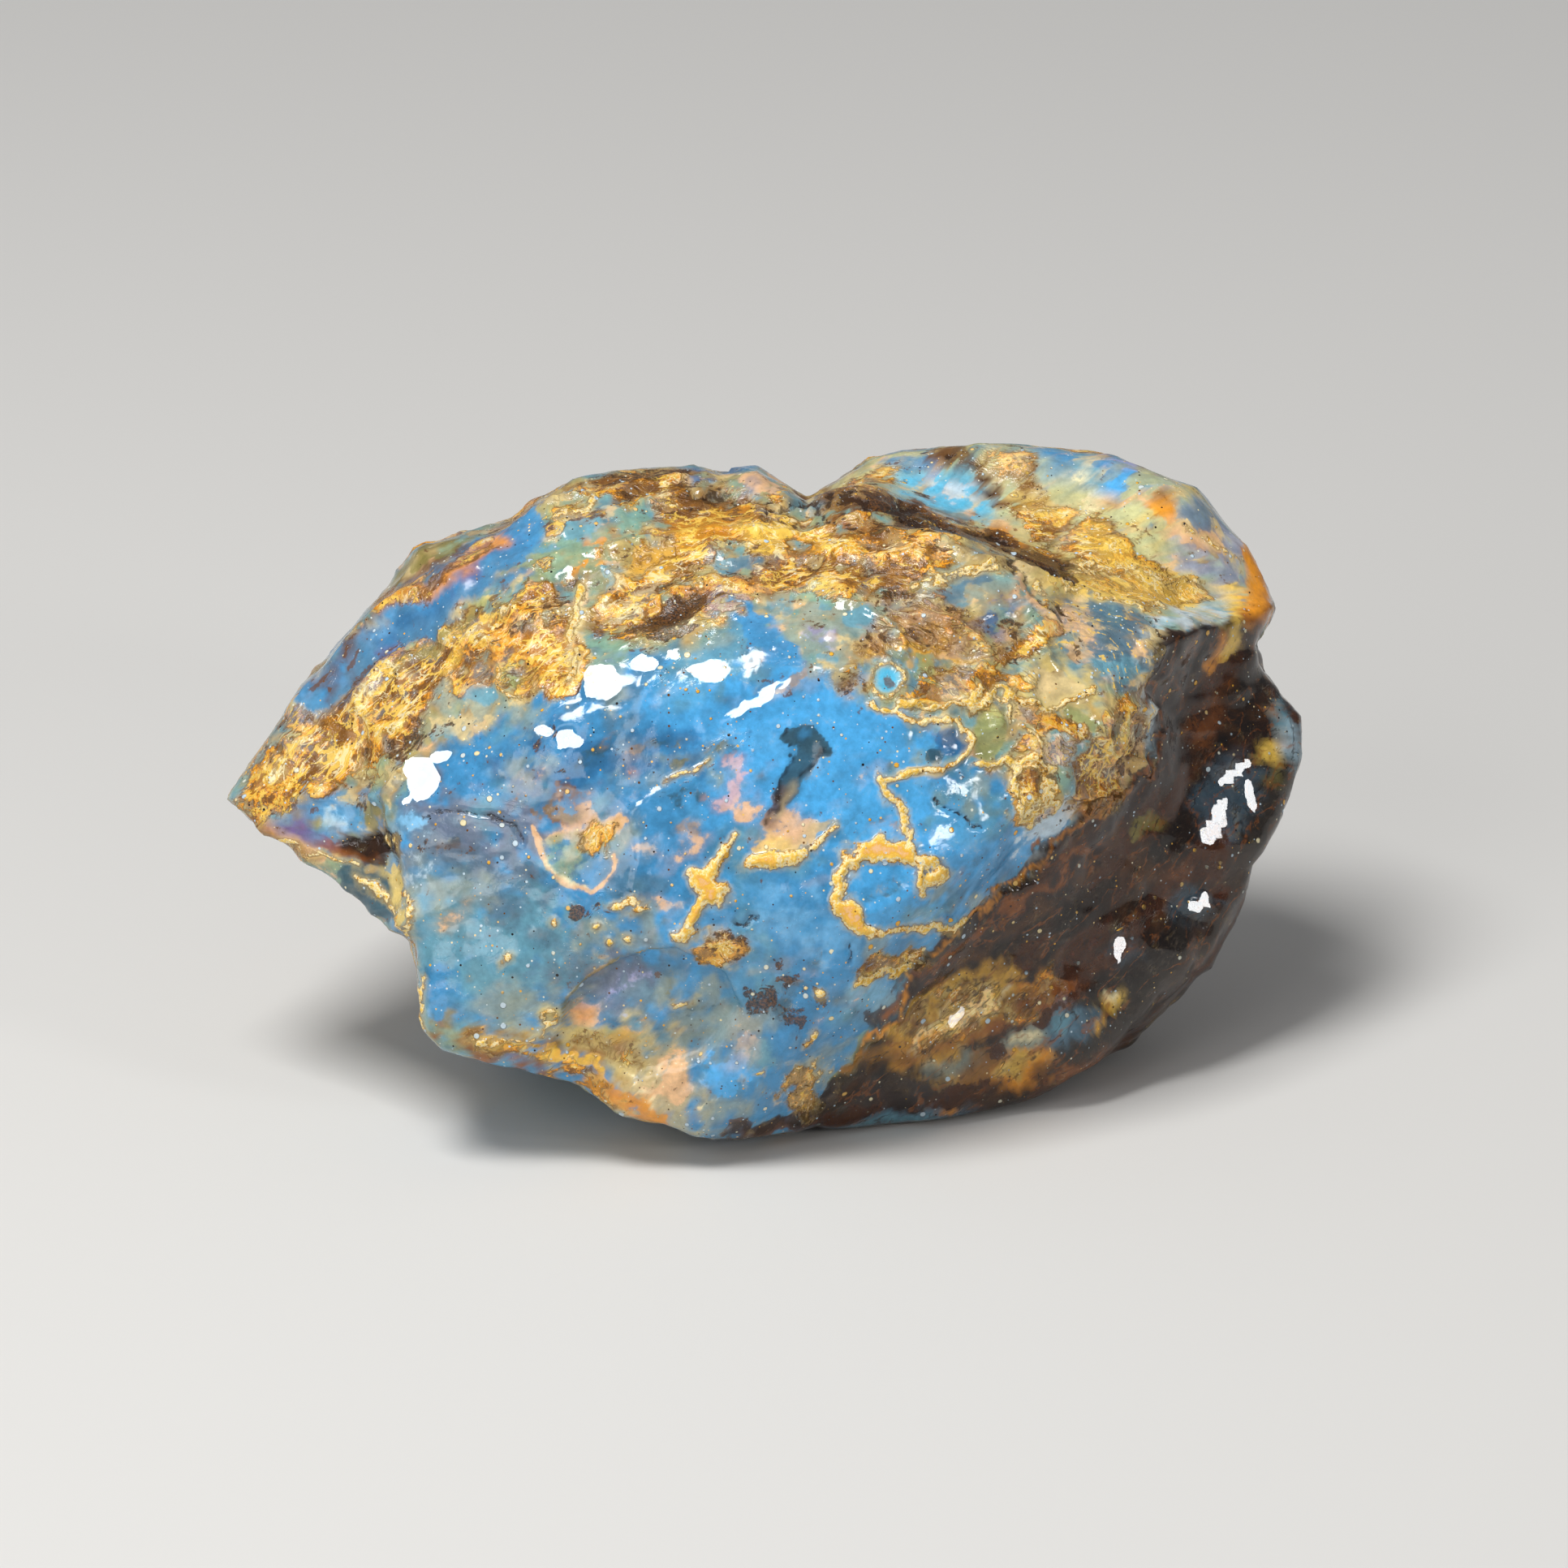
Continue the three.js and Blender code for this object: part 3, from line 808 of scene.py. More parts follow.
# Torn films and dark hollows on the main face.
FACE_TINTS = (
    Line(BLUE, 1.5, ((-1.8, 8.4), (-0.6, 7.4), (0.8, 6.1)), 0.9, 0.4, 1.0),
    *every(Spot, SLATE,
        (-5.2, 1.9, 0.8, 0.35, 0, 0.6), (-8.2, 1.2, 0.9, 0.3, 10, 0.55), (-3.7, -0.4, 0.8, 0.25, 0, 0.6),
        (1.3, -9.3, 1.1, 0.5, 20, 0.5), (0.5, -10.3, 0.4, 1.2, 0, 0.5), (-2.5, -10.0, 1.1, 0.3, 0, 0.5),
    ),
    *several(Spot,
        (DEEP, 8.2, 0.6, 1.4, 0.9, 0, 0.4), (UMBER, -14.4, -2.5, 0.9, 0.4, 0, 0.35),
        (UMBER, -8.7, -0.1, 0.9, 0.25, 0, 0.5), (TAN, -14.0, 2.9, 1.2, 0.6, 10, 0.6),
        (RUST, -9.6, -1.1, 1.9, 0.4, -10, 0.55), (OLIVE, -9.7, -1.0, 1.2, 0.25, -10, 0.5),
        (PEACH, -8.2, -1.9, 1.5, 1.0, 0, 0.5, 0.6, 1.5), (GOLD, -7.6, -2.4, 0.8, 0.6, 0, 0.75, 0.5, 1.5),
        (SEA, -9.0, -3.2, 1.1, 1.0, 0, 0.5),
    ),
    *several(Line,
        (PEACH, 0.2, ((-10.7, -1.8), (-10.2, -3.1), (-9.3, -4.2), (-7.9, -4.7), (-7.1, -4.1),
            (-6.9, -3.1)), 0.9, 0.12, 0.4),
        (CREAM, 0.12, ((-10.0, -3.3), (-9.0, -4.2), (-7.9, -4.5)), 0.7, 0.1, 0.4),
        (PEACH, 0.5, ((-6.5, -2.2), (-5.4, -2.8), (-4.3, -3.1), (-2.8, -2.8)), 0.45, 0.5, 1.2),
    ),
    *several(Spot,
        (PEACH, -5.0, -5.2, 0.8, 0.6, 0, 0.55, 0.5, 1.4), (PEACH, -14.0, -6.1, 1.1, 0.3, 12, 0.55, 0.4),
        (ORANGE, -6.3, 0.5, 0.4, 0.5, 0, 0.5), (ROSE, -1.2, 0.3, 0.7, 0.9, 15, 0.6, 0.5, 1.6),
        (PEACH, -0.9, -0.9, 0.5, 0.4, 0, 0.8), (PEACH, 1.0, -1.9, 1.3, 0.8, 10, 0.75, 0.5),
        (PEACH, -8.1, -10.4, 0.7, 0.5, 0, 0.8), (HONEY, 0.4, -2.5, 0.8, 0.4, 10, 0.6),
        (TAN, 2.2, -1.9, 1.2, 0.3, 24, 0.6), (OLIVE, -3.1, 1.8, 1.3, 0.3, 20, 0.5),
    ),
    *several(Line,
        (SLATE, 1.0, ((1.9, 1.5), (1.5, 0.6), (0.9, -0.3)), 0.75, 0.2, 0.4),
        (UMBER, 0.7, ((0.9, -0.2), (0.4, -0.9), (0.0, -1.5)), 0.5, 0.2, 0.4),
        (TAN, 0.3, ((1.4, 0.2), (0.9, -0.5), (0.4, -1.2)), 0.4, 0.2, 0.4),
    ),
    *several(Spot,
        (SLATE, 1.3, 2.3, 0.55, 0.4, 0, 0.9, 0.12, 0.5), (SLATE, 2.1, 2.1, 0.9, 0.5, -35, 0.95, 0.12, 0.6),
        (BLUE, 1.8, 2.4, 0.3, 0.2, 0, 0.7, 0.1, 0.5), (BLUE, -15.0, -9.4, 0.5, 1.5, 0, 0.7, 0.2, 0.3),
        (SLATE, 2.8, 1.7, 0.4, 0.25, -20, 0.95, 0.1, 0.5),
    ),
    *several(Line,
        (INK, 0.16, ((1.0, 2.6), (1.2, 2.0), (1.4, 1.4), (1.1, 0.6), (0.5, -0.3)), 0.8, 0.1, 0.8),
        (BARK, 0.12, ((0.5, -0.3), (0.0, -1.0), (-0.3, -1.7)), 0.8, 0.1, 0.8),
        (INK, 0.14, ((3.1, 1.6), (2.4, 1.6), (2.1, 0.9), (1.7, 0.2)), 0.8, 0.1, 0.8),
    ),
    *several(Spot,
        (CYAN, 5.6, 5.0, 0.6, 0.52, 0, 0.95, 0.08, 0.15), (MOSS, 10.2, 2.5, 0.75, 1.2, 0, 0.9, 0.15, 0.3),
        (DEEP, 8.5, 2.2, 0.8, 0.6, 0, 0.75, 0.15, 0.4), (SLATE, 7.7, 1.6, 0.35, 0.3, 0, 0.9, 0.08, 0.3),
        (TAN, 7.0, 0.8, 1.1, 0.3, 10, 0.8, 0.15, 0.5), (ICE, 13.2, 1.6, 1.0, 0.7, 20, 0.75),
        (ICE, 12.9, -1.6, 1.6, 0.6, 42, 0.9), (ICE, -15.9, -3.4, 0.5, 1.4, 0, 0.4),
        (SAND, -2.3, -7.4, 1.3, 0.7, 0, 0.6), (SKY, -16.3, -1.6, 0.6, 0.6, 0, 0.7),
        (ORANGE, -8.3, -10.2, 0.3, 0.3, 0, 0.7), (LILAC, -6.6, -9.3, 1.2, 0.6, 25, 0.5, 0.5),
    ),
    *several(Line,
        (OLIVE, 0.14, UNDER_ARC[1:8], 0.75, 0.1, 0.2),
        (GOLD, 0.6, ((-12.6, -11.3), (-11.2, -11.8), (-9.8, -12.3), (-8.6, -13.0),
            (-7.6, -13.6)), 0.8, 0.3, 1.2),
        (HONEY, 0.25, ((-12.4, -11.5), (-10.8, -12.0), (-8.4, -13.2), (-7.6, -13.7)), 0.9, 0.2, 1.5),
    ),
    Spot(PEACH, -6.4, -11.6, 1.1, 0.4, 35, 0.7),
    *several(Line,
        (OLIVE, 0.4, ((-4.4, -8.7), (-4.1, -9.9)), 0.5),
        (OLIVE, 0.7, ((5.5, -7.6), (6.6, -7.7), (7.7, -7.5)), 0.6, 0.3),
    ),
    *several(Spot,
        (MOSS, -6.6, -11.3, 1.3, 0.5, -20, 0.5), (GOLD, -6.5, -11.4, 0.8, 0.3, 15, 0.7),
        (PEACH, -4.3, -13.2, 1.1, 1.2, -20, 0.75, 0.5), (AZURE, -1.7, -13.1, 1.1, 0.9, -30, 0.8, 0.4),
    ),
    *several(Line,
        (ORANGE, 0.7, ((-8.2, -13.5), (-6.7, -14.2), (-5.7, -14.7), (-4.8, -15.6)), 0.85, 0.3),
        (CREAM, 0.14, ((-6.9, -12.8), (-6.1, -13.3), (-5.7, -13.9), (-5.2, -14.5)), 0.8, 0.1),
        (CREAM, 0.12, ((-5.4, -13.4), (-4.8, -12.6)), 0.7, 0.1),
        (CREAM, 0.12, ((-3.8, -14.9), (-2.3, -14.2)), 0.7, 0.1),
    ),
    *several(Spot,
        (TEAL, 0.0, -12.4, 0.9, 0.7, 0, 0.6), (PEACH, -1.3, -11.2, 0.6, 1.1, -10, 0.35, 0.5),
        (TAN, 1.7, -14.0, 1.2, 0.7, 20, 0.7), (UMBER, -0.3, -15.7, 1.6, 0.4),
        (UMBER, 12.1, 0.1, 0.6, 0.9, 0, 0.95, 0.15, 0.5),
    ),
    *several(Line,
        (CYAN, 0.5, ((6.4, -8.9), (6.2, -9.8), (5.6, -10.9), (4.7, -11.6)), 0.7, 0.3),
        (MOSS, 0.5, ((4.8, -11.6), (4.2, -12.4), (3.4, -13.2)), 0.8, 0.3),
    ),
)
# The golden veins, crust patches, grit and cracks that cross it.
FACE_COATS = (
    *every(Line, VEIN,
        (0.2, ((-1.3, -1.9), (-2.0, -3.1))), (0.5, ((-1.9, -2.9), (-2.5, -3.8), (-2.7, -4.6))),
        (0.95, ((-2.9, -4.1), (-2.5, -5.0))), (0.5, ((-2.1, -4.5), (-2.0, -5.2))),
        (0.6, ((-2.8, -5.2), (-3.2, -5.9), (-3.6, -6.5))), (0.35, ((-4.1, -6.6), (-3.2, -6.4))),
        (0.2, ((1.6, -2.9), (2.4, -2.5), (3.4, -1.9))), (0.5, ((7.6, -3.5), (7.0, -3.2), (6.2, -2.7))),
        (1.1, ((6.3, -2.7), (5.1, -2.8), (4.3, -3.0)), 0.9, 0.2, 0.9),
        (0.5, ((4.3, -3.0), (3.6, -3.8), (3.4, -4.8), (3.8, -5.6), (4.4, -6.2)), 0.9, 0.2, 0.9),
        (1.0, ((3.7, -5.2), (4.1, -5.9), (4.4, -6.2)), 0.9, 0.2, 0.9),
        (0.3, ((4.3, -6.3), (5.3, -6.5), (6.7, -6.4), (7.6, -6.2), (8.5, -6.5), (8.9, -6.2))),
        (0.35, ((7.1, -3.5), (7.1, -4.1), (7.3, -4.7))),
        (0.3, ((6.6, -2.5), (6.4, -1.3), (5.9, -0.5), (5.4, 0.6))),
        (0.3, ((5.3, 0.5), (6.1, 0.5), (7.3, 0.9), (9.0, 1.4), (9.4, 2.2), (8.6, 3.2), (7.1, 2.8))),
        (0.24, ((7.1, 2.8), (6.3, 3.3), (5.0, 4.1))),
        (0.34, ((6.0, 4.1), (7.2, 3.7), (8.7, 4.0), (10.0, 4.1), (11.5, 4.3)), 0.9, 0.2, 0.9),
        (0.22, ((11.1, 3.8), (11.1, 3.0))), (0.24, ((11.5, 4.2), (13.1, 3.6), (14.4, 4.2), (15.2, 4.6))),
        (0.26, ((11.5, 1.0), (12.5, 0.8), (12.9, 0.0), (12.7, -1.0), (11.9, -1.5), (11.4, -1.1),
            (11.3, 0.2), (11.5, 1.0)), 0.9, 0.2, 0.9),
        (0.4, ((10.0, 0.9), (11.3, 1.2), (12.3, 1.6), (13.1, 0.8)), 0.9, 0.2, 0.9),
        (0.2, ((11.9, 2.9), (12.6, 2.4), (12.7, 1.5))), (0.2, ((12.8, -0.2), (12.0, -1.8))),
        (0.16, ((-4.5, 0.3), (-3.6, 0.7), (-2.6, 1.3))),
        (0.4, ((4.5, -8.7), (5.7, -8.5), (6.6, -8.4)), 0.9, 0.2, 0.9), (0.2, ((2.4, -11.1), (1.8, -11.7))),
        (0.16, ((-4.1, -9.9), (-3.3, -9.8))), (0.2, ring(-9.9, -10.5, 0.34), 0.9, 0.2, 0.1),
        (0.1, ring(5.6, 5.0, 0.66), 0.9, 0.2, 0.3),
        (0.2, ((-13.3, -11.9), (-12.1, -11.3), (-10.3, -11.2), (-9.3, -10.9)), 0.9, 0.2, 0.9),
        (0.22, ((-16.3, -6.1), (-16.0, -7.7), (-15.9, -9.6), (-15.6, -11.4)), 0.9, 0.2, 0.9),
    ),
    *every(Spot, VEIN,
        (0.0, -3.3, 1.0, 0.45, 10, 0.85, 0.3, 0.6), (1.2, -3.0, 0.8, 0.36, 14, 0.85, 0.3, 0.6),
        (7.8, -4.0, 0.6, 0.34, 15, 0.85, 0.3, 0.4), (-11.9, -7.8, 0.24, 0.22, 0, 0.85, 0.3, 0.6),
        (-6.6, -5.3, 0.5, 0.18, 10, 0.85, 0.3, 0.9), (-5.9, -5.6, 0.24, 0.2, 10, 0.85, 0.3, 0.6),
        (-9.7, -6.1, 0.13, 0.13, 0, 0.85, 0.3, 0.1), (-7.7, -6.3, 0.15, 0.13, 0, 0.85, 0.3, 0.1),
        (-7.1, -7.0, 0.15, 0.15, 0, 0.85, 0.3, 0.1), (-6.3, -6.8, 0.15, 0.15, 0, 0.85, 0.3, 0.1),
        (2.5, -9.4, 0.2, 0.2, 0, 0.85, 0.3, 0.1), (1.5, -13.1, 0.2, 0.25), (2.6, -12.9, 0.25, 0.2),
        (-0.5, -13.0, 0.25, 0.25),
    ),
    *every(Spot, GILD,
        (-2.3, -7.4, 1.3, 0.8, 0, 0.6), (-7.7, -2.4, 1.0, 0.8, 0, 0.7), (1.7, -14.0, 1.2, 0.8, 20, 0.7),
        (6.0, -8.0, 1.4, 0.7, 10, 0.7), (-8.6, -13.4, 1.6, 0.4, -22, 0.8),
        (-11.9, -11.9, 1.6, 0.4, -10, 0.7), (-7.0, -12.0, 1.6, 0.8, -20, 0.4),
    ),
    *every(Spot, SOIL,
        (-7.0, 1.5, 3.2, 0.9, 8, 0.3), (-3.6, 0.3, 2.0, 1.2, 0, 0.3), (-8.2, -5.5, 0.6, 0.35, 0, 0.95),
        (-7.2, -5.8, 0.3, 0.3, 0, 0.95), (-14.3, -2.4, 1.6, 1.0, 0, 0.4), (-12.0, -1.0, 1.8, 0.9, 0, 0.3),
        (-2.3, -7.4, 1.3, 0.8, 0, 0.75), (1.0, -9.6, 1.8, 1.4, 0, 0.6), (-10.5, 2.4, 1.2, 0.7, 0, 0.5),
    ),
    *every(Line, CRACK,
        (0.1, ((-15.8, -1.3), (-14.8, -1.1), (-13.8, -0.9), (-12.8, -1.2), (-11.7, -1.8), (-11.1, -2.5))),
        (0.12, ((7.9, -0.5), (9.0, -1.0), (10.0, -1.7))), (0.1, ((3.7, -7.1), (3.8, -7.9))),
        (0.16, ((-1.4, -6.2), (-0.9, -6.3), (-0.7, -5.9), (-0.4, -6.1))),
    ),
)
# The ochre, green and steel ground of the crusted shoulder.
CRUST_STAINS = (
    *several(Stain,
        (STEEL, -18.4, 6.2, 2.6, 1.3, 38, 0.95), (STEEL, -14.6, 8.6, 3.2, 1.3, 38, 0.95),
        (SLATE, -18.0, 6.6, 2.2, 0.7, 40, 0.6), (SLATE, -15.0, 8.8, 2.6, 0.7, 38, 0.5),
        (OCHRE, -10.0, 8.4, 2.6, 1.2, 36, 0.7), (OCHRE, -5.4, 9.6, 2.4, 1.2, 30, 0.7),
        (BLUE, -12.4, 10.4, 2.2, 1.0, 40, 0.7), (OLIVE, -15.6, 10.8, 3.4, 1.1, 30, 0.95),
        (MOSS, -10.8, 9.6, 2.2, 1.1, 36, 0.85), (SEA, -9.0, 11.0, 1.6, 1.4, 36, 0.6),
        (SEA, -6.4, 12.0, 1.2, 1.2, 0, 0.7), (MIST, -14.0, 3.6, 2.4, 1.0, 15, 0.85),
        (MIST, -20.6, 4.2, 1.6, 0.8, 30, 0.7), (SEA, -7.6, 6.8, 1.2, 1.0, 20, 0.85),
        (OCHRE, -4.6, 14.0, 3.4, 1.0, -6, 0.9), (OCHRE, -4.0, 8.9, 3.2, 1.1, 14),
        (SAND, 1.6, 9.4, 3.6, 1.6), (MIST, 2.6, 7.4, 2.4, 1.6), (OLIVE, 6.4, 10.6, 2.8, 1.6, -12, 0.9),
        (MIST, 9.8, 9.2, 2.4, 1.1, -10, 0.9), (SAND, 8.2, 7.0, 2.8, 1.6), (MOSS, 8.6, 5.2, 2.8, 1.0),
        (WHEAT, 14.0, 4.6, 2.2, 1.2, -20, 0.85), (STEEL, 16.0, 7.2, 2.6, 1.5, -35, 0.9),
        (STEEL, 17.4, 4.8, 1.2, 1.8, 0, 0.6), (SAND, 15.6, 1.4, 1.8, 2.2, 30),
        (TEAL, 13.2, 1.6, 1.4, 1.0, 20, 0.7),
    ),
)
# The shoulder's brighter bands and patches.
CRUST_TINTS = (
    *several(Line,
        (BLUE, 2.1, ((-21.0, 4.2), (-18.4, 6.4), (-15.6, 8.6), (-13.2, 10.4),
            (-11.2, 12.2)), 0.85, 0.4, 0.8),
        (STEEL, 1.6, ((-20.4, 4.2), (-17.8, 6.4), (-15.0, 8.5), (-12.4, 10.6)), 0.6, 0.5, 1.4),
        (DEEP, 0.5, ((-18.0, 6.9), (-15.2, 8.9), (-13.4, 10.6)), 0.6, 0.3),
        (WHEAT, 0.3, ((-18.6, 4.4), (-16.4, 6.0), (-14.4, 7.4), (-12.8, 8.9)), 0.8, 0.15),
    ),
    *several(Spot,
        (BLUE, -12.0, 10.9, 1.2, 0.5, 45, 0.6), (VIOLET, -13.4, 10.6, 1.5, 0.4, 40, 0.5),
        (VIOLET, -17.6, 6.3, 0.6, 0.4, 30, 0.5), (DEEP, -15.5, 8.2, 2.4, 0.4, 36, 0.4),
    ),
    *several(Line,
        (UMBER, 0.7, ((-20.8, 5.2), (-18.8, 7.6), (-16.6, 9.6), (-14.4, 11.0)), 0.6, 0.4, 1.2),
        (ORANGE, 0.5, ((-18.3, 8.5), (-15.5, 9.3), (-14.4, 10.1), (-12.2, 11.6)), 0.85, 0.25),
    ),
    Spot(TEAL, -8.5, 12.2, 1.1, 0.8, 20, 0.7),
    *several(Line,
        (ORANGE, 0.4, ((-10.2, 8.8), (-8.8, 10.2), (-7.8, 11.4)), 0.6, 0.25, 1.0),
        (MOSS, 0.4, ((-17.2, 5.5), (-15.4, 6.8), (-13.7, 7.9), (-13.0, 8.7)), 0.85),
    ),
    *several(Spot,
        (UMBER, -6.0, 14.2, 2.0, 0.5, -8, 0.8), (UMBER, -3.6, 13.5, 1.8, 0.35, -4, 0.7),
        (DEEP, -3.1, 15.0, 0.9, 0.3, 0, 0.9), (PEACH, 0.2, 14.3, 1.1, 0.5, -10, 0.95),
        (HEATHER, -1.2, 13.9, 0.8, 0.3, 10, 0.7), (ORANGE, -2.6, 12.4, 2.1, 0.8, 8, 1.0, 0.2),
        (GOLD, -2.4, 12.7, 1.4, 0.3, 8, 0.7, 0.2), (GOLD, -4.8, 11.2, 1.7, 0.8, 25, 0.8),
        (HONEY, 0.2, 11.7, 1.6, 0.8, 0, 1.0, 0.2), (GOLD, 2.7, 11.7, 0.8, 0.7, 0, 0.9),
        (RUST, 4.1, 12.3, 1.2, 0.5, -15), (UMBER, -4.6, 8.2, 2.2, 0.45, 15, 0.75),
        (RUST, -2.6, 9.2, 2.4, 0.4, 14, 0.7),
    ),
    Line(CREAM, 0.3, ((-7.0, 8.0), (-6.3, 8.7), (-5.1, 9.5), (-4.4, 10.2))),
    *several(Spot,
        (CREAM, -3.9, 7.4, 0.75, 0.35, 22, 0.98, 0.06, 0.4), (STEEL, -0.9, 10.4, 1.2, 0.5, 0, 0.8, 0.2),
        (STEEL, 9.2, 9.5, 1.5, 0.4, 15, 0.7, 0.2), (PEACH, -0.2, 9.3, 0.7, 0.5, 0, 0.85, 0.2),
        (PEACH, 12.0, 9.0, 0.7, 0.4, -40, 0.8), (SEA, 2.4, 8.9, 1.2, 0.5, 0, 0.7, 0.2),
        (SEA, 16.2, 2.6, 1.0, 0.5, 60, 0.5), (ROSE, 4.6, 13.6, 1.1, 0.3, -8, 0.7),
        (LILAC, 2.6, 7.3, 0.7, 0.4, 0, 0.35, 0.15), (TEAL, 4.2, 7.8, 0.7, 0.5, 0, 0.85, 0.1, 0.4),
        (TEAL, 2.8, 6.1, 0.5, 0.3, 0, 0.8, 0.1, 0.4), (PEACH, 7.6, 7.3, 1.7, 0.8, 0, 0.6, 0.6, 2.0),
        (STEEL, 6.6, 8.3, 1.4, 0.35, 20, 0.7, 0.3, 1.6), (STEEL, 8.9, 7.9, 0.9, 0.3, -20, 0.7, 0.3, 1.6),
        (GOLD, 6.9, 6.4, 1.3, 0.35, 10, 0.8, 0.3, 1.6), (GOLD, 9.4, 6.0, 0.9, 0.4, 20, 0.8),
        (DEEP, 10.4, 7.8, 0.5, 0.7, 0, 0.6), (DEEP, 9.6, 6.4, 0.8, 0.3, 0, 0.6),
        (PEACH, 13.8, 7.8, 1.4, 0.5, -15, 0.6), (MOSS, 14.8, 3.2, 1.3, 0.35, -35, 0.8, 0.15),
        (MOSS, -11.3, 5.2, 1.0, 0.55, 0, 0.95, 0.08, 0.2), (TAN, 13.4, 4.6, 1.5, 0.7, -15, 0.8, 0.15, 0.5),
        (ICE, 17.9, 3.6, 0.35, 1.2, 0, 0.8), (ICE, -11.4, 5.4, 0.5, 0.16, 0, 0.6, 0.08, 0.2),
        (TEAL, -12.9, 4.2, 0.7, 0.4, 0, 0.85, 0.1, 0.3), (HONEY, -14.6, 5.9, 0.6, 0.45, 20, 0.95, 0.12),
        (ORANGE, -12.0, 6.8, 1.0, 0.5, 30), (ORANGE, -9.7, 6.1, 1.6, 1.6, 30, 0.6),
    ),
    Line(CREAM, 0.35, ((-8.4, 9.2), (-8.8, 7.2), (-9.4, 6.2), (-8.6, 5.5)), 0.85),
)
